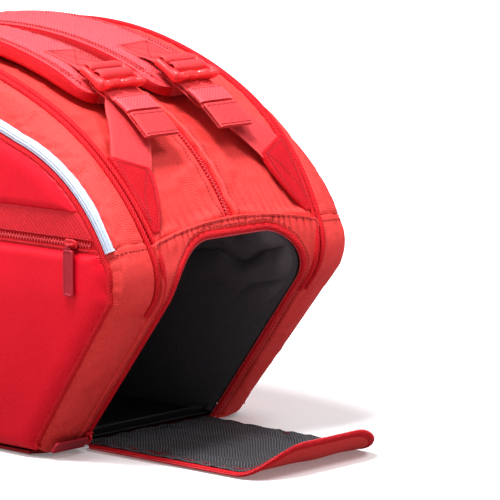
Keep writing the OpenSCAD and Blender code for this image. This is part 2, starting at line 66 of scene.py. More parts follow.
TOP_H = 0.335
TOP_R, SHOULDER_R, NOSE_R, BASE_R = 0.388, 0.233, 0.043, 0.014
TOP_TURN, SHOULDER_TURN, SLOPE_TURN, BASE_TURN = np.radians((28.7, 66.2, 127, 180))
BASE_HALF_W, SIDE_BULGE = 0.124, 0.015
CORD_HALF_W, CORD_LEAN, CORD_REF_Z = 0.097, 0.14, 0.170
TOP_SAG, TUCK, ROUND = 0.012, 0.019, 0.005
DROP, DROP_FADE, FOOT_FLARE = 0.031, 4.5, 0.0074
SEAM_Z, SEAM_RISE, SEAM_ARCH_R = 0.186, 0.010, 0.420
MOUTH_W, MOUTH_H, MOUTH_R = 0.154, 0.182, 0.045
TUNNEL_FLOOR = 0.0105
PANEL_T, GUSSET_T, PANEL_OUT, SEAM_ROW = 0.0035, 0.003, 0.0062, 0.0052


def profile_knots():
    """Arc length where each stretch of the end profile starts, from the middle of the top"""
    s, z = [0.0], TOP_H
    for r, a0, a1 in ((TOP_R, 0, TOP_TURN), (SHOULDER_R, TOP_TURN, SHOULDER_TURN),
                      (NOSE_R, SHOULDER_TURN, SLOPE_TURN)):
        s.append(s[-1] + r * (a1 - a0))
        z -= r * (math.cos(a0) - math.cos(a1))
    foot_z = BASE_R * (1 + math.cos(SLOPE_TURN))
    s.append(s[-1] + (z - foot_z) / math.sin(SLOPE_TURN))
    s.append(s[-1] + BASE_R * (BASE_TURN - SLOPE_TURN))
    return s


KNOTS = profile_knots()
S_SLOPE, S_FOOT = KNOTS[3:5]
S_TABLE = np.linspace(0, KNOTS[-1], 6001)
TURN_TABLE = np.interp(S_TABLE, KNOTS, (0, TOP_TURN, SHOULDER_TURN, SLOPE_TURN, SLOPE_TURN, BASE_TURN))
MID_TURN = (TURN_TABLE[1:] + TURN_TABLE[:-1]) / 2
X_TABLE = np.concatenate(([0], np.cumsum(np.cos(MID_TURN)))) * S_TABLE[1]
Z_TABLE = TOP_H - np.concatenate(([0], np.cumsum(np.sin(MID_TURN)))) * S_TABLE[1]
S_HIDDEN_END = S_SLOPE + 0.012


def turn_at(s):
    return np.interp(np.abs(s), S_TABLE, TURN_TABLE)


def outline(s, inset=0.0):
    """x and z of the end profile at arc length s, moved inwards"""
    t, a = np.abs(s), turn_at(s)
    x = np.interp(t, S_TABLE, X_TABLE) - inset * np.sin(a)
    return np.sign(s) * x, np.interp(t, S_TABLE, Z_TABLE) - inset * np.cos(a)


def s_at_z(z):
    return np.interp(-np.asarray(z), -Z_TABLE, S_TABLE)


def s_at_x(x):
    rising = X_TABLE[:-1] < X_TABLE[1:]
    last = len(rising) if rising.all() else int(np.argmin(rising))
    return np.interp(x, X_TABLE[:last], S_TABLE[:last])


def cord_y(z):
    return np.maximum(CORD_HALF_W - 0.005, CORD_HALF_W + CORD_LEAN * (z - CORD_REF_Z))


def side_y(z):
    return BASE_HALF_W + SIDE_BULGE * np.sin(math.pi / 2 * np.minimum(1, z / 0.2))


def inset_at(s, v):
    a = turn_at(s)
    fade = np.clip((BASE_TURN - a) / (BASE_TURN - SLOPE_TURN), 0, 1)
    flare = np.minimum((np.cos(a) / math.cos(SLOPE_TURN)) ** 3, fade)
    drop = np.where(a < math.pi / 2, DROP * np.maximum(np.cos(a), 0) ** DROP_FADE, -FOOT_FLARE * flare)
    sag = TOP_SAG * np.maximum(0, np.cos(1.5 * a)) ** 3
    over = np.maximum(0, drop)
    inner = sag * (1 - v * v)
    middle = over * (v - 1) + ROUND * (v - 1) ** 2
    outer = over + ROUND + (TUCK * fade - ROUND + np.minimum(0, drop)) * (v - 2)
    return np.where(v < 1, inner, np.where(v < 2, middle, outer))


def skin_y(z, v):
    edge = side_y(z) - 0.004
    middle = cord_y(z) + (edge - cord_y(z)) * (1 - np.clip(2 - v, 0, 1) ** 1.5)
    return np.where(v < 1, v * cord_y(z), np.where(v < 2, middle, edge + 0.004 * (v - 2)))


def skin0(s, v):
    s, v = np.broadcast_arrays(np.asarray(s, float), np.asarray(v, float))
    x, z = outline(s, inset_at(s, np.abs(v)))
    return np.stack((x, np.sign(v) * skin_y(z, np.abs(v)), z), -1)


def unit(a):
    return a / np.maximum(np.linalg.norm(a, axis=-1, keepdims=True), 1e-9)


def skin_n(s, v):
    """Outward direction of the skin"""
    ds = skin0(s + 0.0005, v) - skin0(s - 0.0005, v)
    return unit(np.cross(ds, skin0(s, v + 0.01) - skin0(s, v - 0.01)))


def skin(s, v, h=0.0):
    """Point of the skin moved outwards by h; v is 0 in the middle, 1 at the cords, 3 at the piping"""
    s, v = np.broadcast_arrays(np.asarray(s, float), np.asarray(v, float))
    return skin0(s, v) + np.asarray(h)[..., None] * skin_n(s, v)


def top_pt(s, y, h=0.0):
    """Point over the top at a real distance y from the middle"""
    return skin(s, y / cord_y(outline(s)[1]), h)


# Edge of the side wall, just under the piping
RIM_S = np.linspace(S_FOOT, 0, 260)
RIM_X, RIM_Z = outline(RIM_S, inset_at(RIM_S, np.full(260, 3.0)) - 0.0008)
RIM_X, RIM_Z = np.append(np.full(20, RIM_X[0]), RIM_X), np.append(np.linspace(0, RIM_Z[0] - 0.001, 20), RIM_Z)


def wall_x(z):
    """Half length of the side wall at height z"""
    return np.interp(z, RIM_Z, RIM_X)


def rim_distance(x, z):
    return np.hypot(np.abs(x)[..., None] - RIM_X, z[..., None] - RIM_Z).min(axis=-1)


WALL_TOP = float(RIM_Z[-1]) - 0.0003
POCKET_Z, POCKET_HALF, STRIP_TOP = 0.1845, 0.0055, 0.209

# --- Fields and grids ---


def smooth(t):
    t = np.clip(t, 0, 1)
    return t * t * (3 - 2 * t)


def noise(x, y, seed):
    """Smooth random field with cells of one unit, from -1 to 1"""
    table = np.random.RandomState(seed).uniform(-1, 1, (64, 64))
    x, y = np.broadcast_arrays(x, y)
    xi, yi = np.floor(x).astype(int), np.floor(y).astype(int)
    fx, fy = smooth(x - xi), smooth(y - yi)

    def corner(a, b):
        return table[(xi + a) % 64, (yi + b) % 64]
    low = corner(0, 0) * (1 - fx) + corner(1, 0) * fx
    return low * (1 - fy) + (corner(0, 1) * (1 - fx) + corner(1, 1) * fx) * fy


def puckers(along, away, pitch, reach, seed):
    """Ridges that run away from a seam and fade: where the seam gathers the fabric"""
    phase = along / pitch + 0.9 * noise(along / pitch / 2.3, 0.5, seed)
    ridge = np.abs(np.sin(math.pi * phase)) ** 0.8 - 0.6
    length = reach * (1 + 0.6 * noise(along / pitch / 1.3, 7.5, seed + 1))
    return ridge * np.exp(-away / length) * smooth(away / 0.003)


def edge_roll(d, r):
    """Height lost at distance d from an edge that is rounded over r"""
    k = np.clip(1 - d / r, 0, 1)
    return -r * (1 - np.sqrt(1 - k * k))


def groove(d, width, depth):
    return -depth * np.exp(-(d / width) ** 2)


def normals(grid):
    return unit(np.cross(np.gradient(grid, axis=0), np.gradient(grid, axis=1)))


def refine(grid, k):
    """Adds k - 1 rows and columns between each pair, on smooth curves"""
    for axis in (0, 1):
        g = np.moveaxis(grid, axis, 0)
        n = len(g)
        ext = np.concatenate(([2 * g[0] - g[1]], g, [2 * g[-1] - g[-2]]))
        t = np.arange((n - 1) * k + 1) / k
        i = np.minimum(t.astype(int), n - 2)
        f = (t - i).reshape(-1, *[1] * (g.ndim - 1))
        a, b, c, d = (ext[i + j] for j in range(4))
        g = 0.5 * (2 * b + (c - a) * f + (2 * a - 5 * b + 4 * c - d) * f ** 2
                   + (3 * b - a - 3 * c + d) * f ** 3)
        grid = np.moveaxis(g, 0, axis)
    return grid


def lengths(grid):
    """Real distances along both directions of a grid, for its reliefs and the scale of its weave"""
    uv = []
    for axis in (0, 1):
        step = np.linalg.norm(np.diff(grid, axis=axis), axis=-1)
        first = np.zeros_like(np.take(step, [0], axis))
        uv.append(np.concatenate((first, np.cumsum(step, axis=axis)), axis=axis))
    return uv


def row(low, high, count):
    return np.linspace(low, high, count)[None]


def column(low, high, count):
    return np.linspace(low, high, count)[:, None]


def run_of(points):
    """Distance travelled at each point of a line"""
    return np.concatenate(([0], np.cumsum(np.linalg.norm(np.diff(points, axis=0), axis=1))))


def from_ends(distance, axis):
    """Distance to the nearer end of a row or column, from the distance to its start"""
    return np.minimum(distance, np.take(distance, [-1], axis) - distance)


def settle(grid, held, pressure=0.0, gravity=0.0, slack=0.01, cap=0.006, frames=20):
    """Cloth simulation of a sheet held where held is 1; returns the grid it settles into"""
    n, m = grid.shape[:2]
    obj = bpy.data.objects.new("settling", bpy.data.meshes.new("settling"))
    obj.data.from_pydata(grid.reshape(-1, 3), [], quads(n, m))
    bpy.context.scene.collection.objects.link(obj)
    pins = obj.vertex_groups.new(name="held")
    for index, weight in enumerate(held.ravel()):
        if weight > 0:
            pins.add([index], float(weight), "REPLACE")
    cloth = obj.modifiers.new("cloth", "CLOTH")
    cloth.settings.quality = 5
    cloth.settings.mass = 0.25
    cloth.settings.tension_stiffness = cloth.settings.compression_stiffness = 20
    cloth.settings.bending_stiffness = 0.8
    cloth.settings.vertex_group_mass = "held"
    cloth.settings.shrink_min = -slack
    cloth.settings.use_pressure = pressure != 0
    cloth.settings.uniform_pressure_force = pressure
    cloth.settings.effector_weights.gravity = gravity
    cloth.collision_settings.use_collision = False
    cloth.point_cache.frame_start, cloth.point_cache.frame_end = 1, frames
    for f in range(1, frames + 1):
        bpy.context.scene.frame_set(f)
    shown = obj.evaluated_get(bpy.context.evaluated_depsgraph_get())
    moved = np.empty(n * m * 3, np.float32)
    shown.data.vertices.foreach_get("co", moved)
    bpy.data.objects.remove(obj)
    bpy.context.scene.frame_set(1)
    move = moved.reshape(n, m, 3) - grid
    size = np.linalg.norm(move, axis=-1, keepdims=True)
    return grid + move * np.minimum(1, cap / np.maximum(size, 1e-9))


def held_edges(n, m):
    held = np.zeros((n, m))
    held[[0, -1]] = held[:, [0, -1]] = 1
    return held


def draped(grid, **forces):
    """A coarse grid settled as cloth between its held edges, then refined"""
    return refine(settle(grid, held_edges(*grid.shape[:2]), **forces), 3)


# --- Meshes ---


def quads(n, m, start=0):
    index = np.arange(n * m).reshape(n, m) + start
    return np.stack((index[:-1, :-1], index[1:, :-1], index[1:, 1:], index[:-1, 1:]), -1).reshape(-1, 4)


def slab(outer, inner):
    """Closed solid between two grids of the same size"""
    n, m = outer.shape[:2]
    index = np.arange(n * m).reshape(n, m)
    loop = np.concatenate((index[0, :-1], index[:-1, -1], index[-1, :0:-1], index[:0:-1, 0]))
    after = np.roll(loop, -1)
    rim = np.stack((loop, after, after + n * m, loop + n * m), -1)
    faces = np.concatenate((quads(n, m), quads(n, m, n * m)[:, ::-1], rim))
    return np.concatenate((outer.reshape(-1, 3), inner.reshape(-1, 3))), faces.tolist()


def tube(rings, closed=False):
    """Closed solid through rings of points, with flat ends unless it closes on itself"""
    n, m = rings.shape[:2]
    i, j = np.meshgrid(np.arange(n if closed else n - 1), np.arange(m), indexing="ij")
    k, l = (i + 1) % n, (j + 1) % m
    faces = np.stack((i * m + j, k * m + j, k * m + l, i * m + l), -1).reshape(-1, 4).tolist()
    verts = rings.reshape(-1, 3)
    if not closed:
        verts = np.concatenate((verts, rings[[0, -1]].mean(axis=1)))
        faces += [[a, (a + 1) % m, n * m] for a in range(m)]
        last = (n - 1) * m
        faces += [[last + (a + 1) % m, last + a, n * m + 1] for a in range(m)]
    return verts, faces


def beads(at, along, up, length, radius, flat=1.0, sides=6):
    """Many small rounded rods: stitches or zip teeth"""
    along = unit(np.broadcast_to(along, at.shape))
    across = unit(np.cross(up, along))
    up = np.cross(along, across)
    stops = ((-1, 0.35), (-0.75, 0.85), (0.75, 0.85), (1, 0.35))
    angle = np.arange(sides) * 2 * math.pi / sides
    rings = [at[:, None] + along[:, None] * (x * length / 2) + (across[:, None] * np.cos(angle)[:, None]
             + up[:, None] * (flat * np.sin(angle))[:, None]) * (radius * r) for x, r in stops]
    verts = np.stack(rings, 1)
    one = [[a * sides + b, a * sides + (b + 1) % sides, (a + 1) * sides + (b + 1) % sides,
            (a + 1) * sides + b] for a in range(3) for b in range(sides)]
    ends = [[b for b in range(sides)][::-1], [3 * sides + b for b in range(sides)]]
    faces = [[v + k * 4 * sides for v in f] for k in range(len(at)) for f in one + ends]
    return verts.reshape(-1, 3), faces


def volume(verts, faces):
    """Six times the volume that the faces enclose, below zero when they face inwards"""
    total = 0.0
    for size in {len(f) for f in faces}:
        f = np.array([g for g in faces if len(g) == size])
        for k in range(1, size - 1):
            total += np.einsum("ij,ij->", verts[f[:, 0]], np.cross(verts[f[:, k]], verts[f[:, k + 1]]))
    return total


def joined(solids):
    """Several closed solids in one piece, each facing outwards"""
    all_verts, all_faces, start = [], [], 0
    for solid in solids:
        verts, faces = facing_out(*solid)
        all_verts.append(verts)
        all_faces += [[i + start for i in f] for f in faces]
        start += len(verts)
    return np.concatenate(all_verts), all_faces


# Where the side walls start and finish bending away, as y and z; they are only recorded, nothing here bends the
# walls
OPEN_FROM, OPEN_TO = (0.093, 0.140), (0.134, 0.181)
BODY_OF = {node: body for body, nodes in frame["record"]["behaviour"]["bodies"].items() for node in nodes}


def attach(obj, body, bend):
    """Side walls, and pieces given a bend, are baked in place and ride on no body; everything else rides on its
    body
    """
    if body.startswith("side_shell"):
        side = SIDES[body.split("_")[-1]]
        bend = ("bag_body", body, (0, side * OPEN_FROM[0], OPEN_FROM[1]), (0, side * OPEN_TO[0], OPEN_TO[1]))
    if bend:
        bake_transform(obj)
    else:
        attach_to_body(obj, body)


def facing_out(verts, faces, side=FAR):
    """A closed solid on its side of the bag, with its faces turned outwards"""
    verts = verts * np.array((1, side, 1))
    return verts, [f[::-1] for f in faces] if volume(verts, faces) < 0 else faces


def piece(name, solid, material, uv=None, body=None, slot=None, side=None, sharp=50, bend=None):
    """Makes one piece from its vertices and faces, in place of the CAD node of the same name"""
    side = side or (NEAR if "_near" in name else FAR)
    materials = material if isinstance(material, tuple) else (material,)
    verts, faces = facing_out(*solid, side)
    mesh = bpy.data.meshes.new(name)
    mesh.from_pydata(verts, [], faces)
    mesh.polygons.foreach_set("use_smooth", [True] * len(mesh.polygons))
    mesh.set_sharp_from_angle(angle=math.radians(sharp))
    if uv is not None:
        uv = np.stack(uv, -1).reshape(-1, 2)
        uv = np.concatenate((uv, np.resize(uv, (len(verts) - len(uv), 2))))
        index = np.empty(len(mesh.loops), int)
        mesh.loops.foreach_get("vertex_index", index)
        mesh.uv_layers.new(name="weave").data.foreach_set("uv", uv[index].ravel())
    mesh.update()
    obj = bpy.data.objects.new(name, mesh)
    bpy.context.scene.collection.objects.link(obj)
    for m in materials:
        mesh.materials.append(m)
    attach(obj, body or BODY_OF.get(name, "bag_body"), bend)
    if name in frame["nodes"]:
        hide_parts(name)
    return obj


def raised(grid, height):
    return grid + normals(grid) * np.asarray(height)[..., None]


def sheet(name, grid, height, thickness, material, **more):
    """Fabric panel: a grid raised by height, closed below by its thickness"""
    uv = [np.concatenate((q, q)) for q in lengths(grid)]
    solid = slab(raised(grid, height), raised(grid, np.full(grid.shape[:2], -thickness)))
    return piece(name, solid, material, uv, **more)


def on_grid(grid, a, b, h=0.0):
    """Points and outward directions on a grid at shares a and b of its two directions"""
    n = normals(grid)
    i, j = np.clip(a, 0, 1) * (grid.shape[0] - 1), np.clip(b, 0, 1) * (grid.shape[1] - 1)
    i0, j0 = np.minimum(i.astype(int), grid.shape[0] - 2), np.minimum(j.astype(int), grid.shape[1] - 2)
    fi, fj = (i - i0)[:, None], (j - j0)[:, None]

    def mix(g):
        low = g[i0, j0] * (1 - fi) + g[i0 + 1, j0] * fi
        return low * (1 - fj) + (g[i0, j0 + 1] * (1 - fi) + g[i0 + 1, j0 + 1] * fi) * fj
    up = unit(mix(n))
    return mix(grid) + up * h, up


def spaced(points, ups, pitch):
    """Evenly spaced points, directions along and up, on a line of points"""
    run = run_of(points)
    t = np.arange(pitch / 2, run[-1], pitch)

    def at(place, values=points):
        return np.stack([np.interp(place, run, values[:, k]) for k in range(3)], -1)
    return at(t), unit(at(t + pitch * 0.2) - at(t - pitch * 0.2)), unit(at(t, ups))


class Trim:
    """Collects stitches and zip teeth, so that each body gets one piece of each"""

    def __init__(self):
        self.parts = {}

    def add(self, kind, body, side, solid):
        verts, faces = solid
        self.parts.setdefault((kind, body), []).append((verts * np.array((1, side, 1)), faces))

    def make(self, looks):
        for (kind, body), solids in self.parts.items():
            piece(f"{kind}_{body}", joined(solids), looks[kind], body=body, side=FAR, sharp=80)


trim = Trim()
STITCH, STITCH_PITCH, THREAD = 0.0027, 0.0036, 0.00048


def stitch(points, ups, body, side=FAR, pitch=STITCH_PITCH, length=STITCH):
    at, along, up = spaced(points, ups, pitch)
    trim.add("stitches", body, side, beads(at, along, up, length, THREAD))


def stitch_grid(grid, height, a, b, body="bag_body", side=FAR, **more):
    """Row of stitches on a panel, at shares a and b of its two directions"""
    a, b = np.broadcast_arrays(a, b)
    points, ups = on_grid(raised(grid, height), a, b, 0.0001)
    stitch(points, ups, body, side, **more)


def coil(points, ups, body, side=FAR, half=0.0022, pitch=0.0016, radius=0.00062):
    """Two rows of zip teeth that mesh along a line"""
    at, along, up = spaced(points, ups, pitch)
    across = unit(np.cross(up, along))
    odd = (np.arange(len(at)) % 2 * 2 - 1)[:, None]
    trim.add("teeth", body, side, beads(at + across * odd * half * 0.32, across, up, half * 1.5, radius))


# --- Materials: colour, weave, painted shade, wear and sheen from nodes ---


def srgb(r, g, b):
    return tuple(((c / 255 + 0.055) / 1.055) ** 2.4 if c > 10 else c / 255 / 12.92 for c in (r, g, b)) + (1,)


class Shader:
    """Short way to wire shader nodes"""

    def __init__(self, name):
        self.material = bpy.data.materials.new(name)
        self.material.use_nodes = True
        self.tree = self.material.node_tree
        self.shade = self.tree.nodes["Principled BSDF"]

    def link(self, source, target):
        if isinstance(source, bpy.types.NodeSocket):
            self.tree.links.new(source, target)
        else:
            target.default_value = source

    def add(self, kind, *inputs, **settings):
        node = self.tree.nodes.new(kind)
        for key, value in settings.items():
            setattr(node, key, value)
        for k, value in enumerate(inputs):
            if value is not None:
                self.link(value, node.inputs[k])
        return node

    def math(self, operation, a, b=None):
        return self.add("ShaderNodeMath", a, b, operation=operation).outputs[0]

    def mix(self, share, a, b):
        node = self.add("ShaderNodeMix", data_type="RGBA")
        for k, value in ((0, share), (6, a), (7, b)):
            self.link(value, node.inputs[k])
        return node.outputs[2]

    def noise(self, scale, detail=3.0):
        place = self.add("ShaderNodeTexCoord").outputs["Object"]
        return self.add("ShaderNodeTexNoise", place, None, scale, detail).outputs["Fac"]

    def spread(self, value, low, high):
        return self.add("ShaderNodeMapRange", value, low, high, 0.0, 1.0).outputs[0]

    def bump(self, height, strength, distance):
        node = self.add("ShaderNodeBump", strength, distance)
        self.link(height, node.inputs["Height"])
        self.link(node.outputs[0], self.shade.inputs["Normal"])

    def finish(self, colour, rough, sheen=0.0, sheen_tint=(1, 1, 1, 1), specular=0.5):
        for key, value in (("Base Color", colour), ("Roughness", rough), ("Sheen Weight", sheen),
                           ("Sheen Tint", sheen_tint), ("Sheen Roughness", 0.4),
                           ("Specular IOR Level", specular)):
            self.link(value, self.shade.inputs[key])
        return self.material


def weave_height(sh, kind, pitch):
    """Height of a weave, 0 to 1, from the real distances kept in the piece's UV map"""
    uv = sh.add("ShaderNodeSeparateXYZ", sh.add("ShaderNodeUVMap", uv_map="weave").outputs[0])
    u = sh.math("MULTIPLY", uv.outputs[0], math.pi / pitch)
    v = sh.math("MULTIPLY", uv.outputs[1], math.pi / pitch)

    def wave(angle):
        return sh.math("ABSOLUTE", sh.math("SINE", angle))
    if kind == "plain":
        product = sh.math("MULTIPLY", sh.math("SINE", u), sh.math("SINE", v))
        return sh.math("MULTIPLY_ADD", product, 0.5)
    if kind == "twill":
        ribs = wave(sh.math("ADD", u, v))
        return sh.math("MULTIPLY", ribs, sh.math("ADD", 0.7, sh.math("MULTIPLY", wave(v), 0.3)))
    if kind == "rib":
        return sh.math("MULTIPLY", wave(v), sh.math("ADD", 0.75, sh.math("MULTIPLY", wave(u), 0.25)))
    return sh.math("MULTIPLY", wave(u), wave(v))


def fabric(name, lit, deep, kind, pitch, relief=0.5, sheen=0.05, rough=0.62, contrast=0.5, specular=0.22):
    """Woven cloth: painted shade darkens the gaps of the weave and the folds towards deep; raised edges wear
    lighter
    """
    sh = Shader(name)
    height = weave_height(sh, kind, pitch)
    blotch = sh.noise(9.0)
    fine = sh.noise(420.0, 2.0)
    base = sh.mix(sh.spread(blotch, 0.3, 0.7), lit, [0.86 * c for c in lit[:3]] + [1])
    # painted shade: the gaps of the weave darken towards the shade colour deep, by contrast
    weave_gap_shade = sh.math("MULTIPLY", sh.math("SUBTRACT", 1.0, height), contrast)
    base = sh.mix(weave_gap_shade, base, deep)
    crease = sh.add("ShaderNodeNewGeometry").outputs["Pointiness"]
    # painted shade: hollows and folds, where the pointiness is low, darken towards deep
    base = sh.mix(sh.math("MULTIPLY", sh.spread(crease, 0.49, 0.42), 0.7), base, deep)
    worn = [min(1, 1.15 * c + 0.02) for c in lit[:3]] + [1]
    base = sh.mix(sh.math("MULTIPLY", sh.spread(crease, 0.53, 0.6), 0.5), base, worn)
    base = sh.mix(sh.math("MULTIPLY", sh.spread(fine, 0.45, 0.75), 0.25), base, worn)
    sh.bump(sh.math("ADD", height, sh.math("MULTIPLY", fine, 0.4)), relief, 0.35 * pitch)
    roughness = sh.math("ADD", rough - 0.08, sh.math("MULTIPLY", blotch, 0.16))
    return sh.finish(base, roughness, sheen, worn, specular)


def plastic(name, lit, deep, rough=0.35, grain=600.0, specular=0.5):
    """Moulded plastic or painted metal with a faint grain and rubbed edges"""
    sh = Shader(name)
    grain_noise = sh.noise(grain, 2.0)
    base = sh.mix(sh.spread(sh.noise(25.0), 0.35, 0.7), lit, deep)
    edge = sh.spread(sh.add("ShaderNodeNewGeometry").outputs["Pointiness"], 0.51, 0.58)
    base = sh.mix(sh.math("MULTIPLY", edge, 0.45), base, [min(1, 1.3 * c + 0.03) for c in lit[:3]] + [1])
    sh.bump(grain_noise, 0.15, 0.0002)
    return sh.finish(base, sh.math("ADD", rough - 0.05, sh.math("MULTIPLY", grain_noise, 0.12)),
                     specular=specular)


# Second colour of each fabric: painted shade, for the gaps of the weave and the folds; of each plastic: a darker
# mottle
CORAL, CORAL_PAINTED_SHADE = srgb(240, 84, 80), srgb(186, 14, 30)
SHELL = fabric("shell_fabric", CORAL, CORAL_PAINTED_SHADE, "twill", 0.0021)
PAD = fabric("pad_weave", srgb(243, 100, 107), srgb(204, 34, 50), "plain", 0.0017, 0.7, contrast=0.6)
BINDING = fabric("binding_twill", srgb(226, 36, 48), srgb(150, 6, 24), "twill", 0.0024, 0.7, contrast=0.6)
MOULDED = fabric("moulded_panel", srgb(230, 20, 48), srgb(172, 4, 30), "fine", 0.0011, 0.15, 0.1, 0.46, 0.2)
RIBBED = fabric("ribbed_strip", srgb(234, 54, 66), srgb(150, 10, 30), "fine", 0.0014, 0.4)
BAND = fabric("reflective_band", srgb(206, 218, 234), srgb(140, 156, 198), "rib", 0.0024, 0.7, 0.1, 0.35, 0.5)
TAPE = fabric("zip_tape", srgb(205, 22, 36), srgb(120, 4, 16), "twill", 0.0012, 0.5)
WEBBING = fabric("webbing", srgb(240, 86, 90), srgb(190, 24, 42), "twill", 0.0019, 0.8, contrast=0.65)
WING = fabric("wing_fabric", srgb(206, 24, 40), srgb(144, 6, 22), "plain", 0.0012, 0.5, contrast=0.5)
TUNNEL = fabric("tunnel_lining", srgb(124, 124, 128), srgb(24, 24, 26), "plain", 0.0011, 0.4, 0.1, 0.5)
# painted shade: a darker copy of the grey lining, for the back and floor of the shoe tunnel, the sill, the
# dividers and the side linings
LINING_PAINTED_SHADE = fabric("lining", srgb(62, 62, 66), srgb(26, 26, 29), "plain", 0.0011, 0.4, 0.2, 0.55)
FLAP_LINING = fabric("flap_lining", srgb(92, 90, 94), srgb(28, 28, 31), "twill", 0.0032, 0.9, 0.2, 0.6, 0.8)
BOARD = plastic("board", srgb(70, 70, 74), srgb(52, 52, 56), 0.7)
BUCKLE = plastic("buckle", srgb(240, 62, 66), srgb(222, 40, 48), 0.34)
METAL = plastic("slider", srgb(205, 24, 40), srgb(176, 14, 30), 0.3)
RUBBER = plastic("puller", srgb(176, 26, 48), srgb(150, 16, 38), 0.5)
TEETH = plastic("teeth", srgb(236, 84, 90), srgb(206, 44, 54), 0.26)
THREADS = plastic("thread", srgb(150, 8, 26), srgb(120, 4, 18), 0.6)
BASE = fabric("base_fabric", srgb(150, 14, 28), srgb(84, 4, 12), "plain", 0.002, 0.7, 0.2, 0.6)

# --- Centre panels, the zip between them and the cords beside them ---

ZIP_V, CORD_V = 0.056, 0.968


def s_end_at(v):
    """The seam over each end is an arch, so the top runs further towards its edges"""
    drop = (v * cord_y(np.asarray(SEAM_Z))) ** 2 / (2 * SEAM_ARCH_R)
    return s_at_z(SEAM_Z + SEAM_RISE - drop) + 0.003


def centre_panel(tag, side):
    seed = 10 + side
    v = row(ZIP_V, CORD_V, 19)
    grid = draped(skin(column(-1, 1, 101) * s_end_at(v), v), pressure=-0.6, gravity=0.6, slack=0.012,
                  cap=0.004)
    along, across = lengths(grid)
    width = across[:, -1:]
    away = from_ends(along, 0)
    height = 0.0022 * puckers(across * 1.03 + 0.1, away, 0.0088, 0.026, seed) - 0.0018 * (
        1 - smooth(away / 0.006))
    height *= smooth((width - across) / 0.012)
    height += 0.0005 * noise(along / 0.05, across / 0.03, seed + 4)
    height += 0.0011 * (1 - smooth((across - 0.0062) / 0.0014))
    height += groove(across - SEAM_ROW, 0.0006, 0.0005) + edge_roll(width - across, 0.0025)
    height += edge_roll(across, 0.0012)
    sheet("centre_panel_" + tag, grid, height, PANEL_T, SHELL)
    a = np.linspace(0.01, 0.99, 900)
    inset = np.interp(a, np.linspace(0, 1, len(grid)), SEAM_ROW / width[:, 0])
    stitch_grid(grid, height, a, inset, side=side)


def centre_zip():
    s = column(-1, 1, 300) * (s_end_at(0.0) + 0.001)
    sheet("centre_zip", top_pt(s, row(-0.007, 0.007, 8), -0.0026), 0.0, 0.0008, TAPE)
    coil(top_pt(s[:, 0], 0.0, -0.0016), skin_n(s[:, 0], 0.0), "bag_body")


def cord(name, centre, up, radius, relief=0.00012, squash=1.0, twist=0.0030, **more):
    """Cord wrapped in twill tape along a line, pressed flat by squash"""
    run = run_of(centre)
    across = unit(np.cross(up, unit(np.gradient(centre, axis=0))))
    angle = np.linspace(0, 2 * math.pi, 12, endpoint=False)[None]
    r = radius + relief * np.sin(2 * math.pi * run[:, None] / twist + 2 * angle)
    ring = centre[:, None] + across[:, None] * (np.cos(angle) * r)[..., None]
    ring = ring + up[:, None] * (np.sin(angle) * r * squash)[..., None]
    uv = np.broadcast_arrays(run[:, None], angle * radius)
    piece(name, tube(ring), BINDING, uv, sharp=80, **more)


def skin_cord(name, s, v, h, radius):
    cord(name, skin(s, v, h), skin_n(s, v), radius)


def hidden_zips(tag, side):
    s = np.linspace(-S_HIDDEN_END, S_HIDDEN_END, 1500)
    skin_cord("hidden_zip_inner_" + tag, s, 0.976, -0.0004, 0.0026)
    skin_cord("hidden_zip_outer_" + tag, s, 1.088, -0.0004, 0.0025)
    v = row(0.93, 1.17, 6)
    sheet("hidden_zip_tape_" + tag, skin(s[::6, None], v, -0.0030), groove(v - 1.03, 0.02, 0.0006),
          0.0006, TAPE, body="side_shell_" + tag)


# --- Gussets, white band, piping ---


def gusset_wave(s, v, seed):
    """Slack in the gusset: long soft waves across it"""
    return 0.0012 * noise(s / 0.045, v * 1.1, seed) + 0.0006 * noise(s / 0.016, v * 2.0, seed + 2)


def upper_gusset(tag, side):
    seed, edge = 30 + side, float(s_at_z(SEAM_Z)) - 0.0005
    grid = draped(skin(column(-edge, edge, 141), row(1.13, 2.06, 12)), pressure=1.2, slack=0.006, cap=0.0025)
    along, inner = lengths(grid)
    away = from_ends(along, 0)
    height = gusset_wave(along, inner / 0.03, seed) * smooth(inner / 0.01)
    height += 0.0008 * puckers(inner + 0.3, away, 0.016, 0.018, seed) + edge_roll(away, 0.0008)
    height += edge_roll(inner, 0.0018) + groove(inner - 0.005, 0.0006, 0.0003)
    sheet("upper_gusset_" + tag, grid, height, GUSSET_T, SHELL)


def lower_gusset(tag, side, end):
    """Gusset below the seam at one end: end is 1 for the shoe end and -1 for the rear"""
    seed = 40 + side + 5 * end
    s = column(float(s_at_z(SEAM_Z)) - 0.003, S_FOOT + 0.006, 61)
    low = smooth((s - S_HIDDEN_END + 0.004) / 0.010)
    v = (1.13 - 0.13 * low) + row(0, 1, 22) * (2.86 - 1.13 + 0.13 * low)
    grid = draped(skin(s, v), pressure=1.5, slack=0.008, cap=0.003)
    down, across = lengths(grid)
    height = 0.0013 * puckers(across + 0.2, down, 0.019, 0.045, seed) - 0.002 * (1 - smooth(down / 0.005))
    height += 0.0012 * noise(across / 0.018, down / 0.09, seed + 3) * smooth(across / 0.01)
    height += edge_roll(across, 0.002)
    grid = grid * np.array((end, 1, 1))
    if end < 0:
        grid, height = grid[::-1], height[::-1]
    sheet(f"lower_gusset_{tag}_{'shoe' if end > 0 else 'rear'}", grid, height, GUSSET_T, SHELL)
    seam = 0.008 / float(down[-1].mean())
    stitch_grid(grid, height, seam if end > 0 else 1 - seam, np.linspace(0.01, 0.99, 200),
                "side_shell_" + tag, side)


def lower_gussets(tag, side):
    for end in (1, -1):
        lower_gusset(tag, side, end)


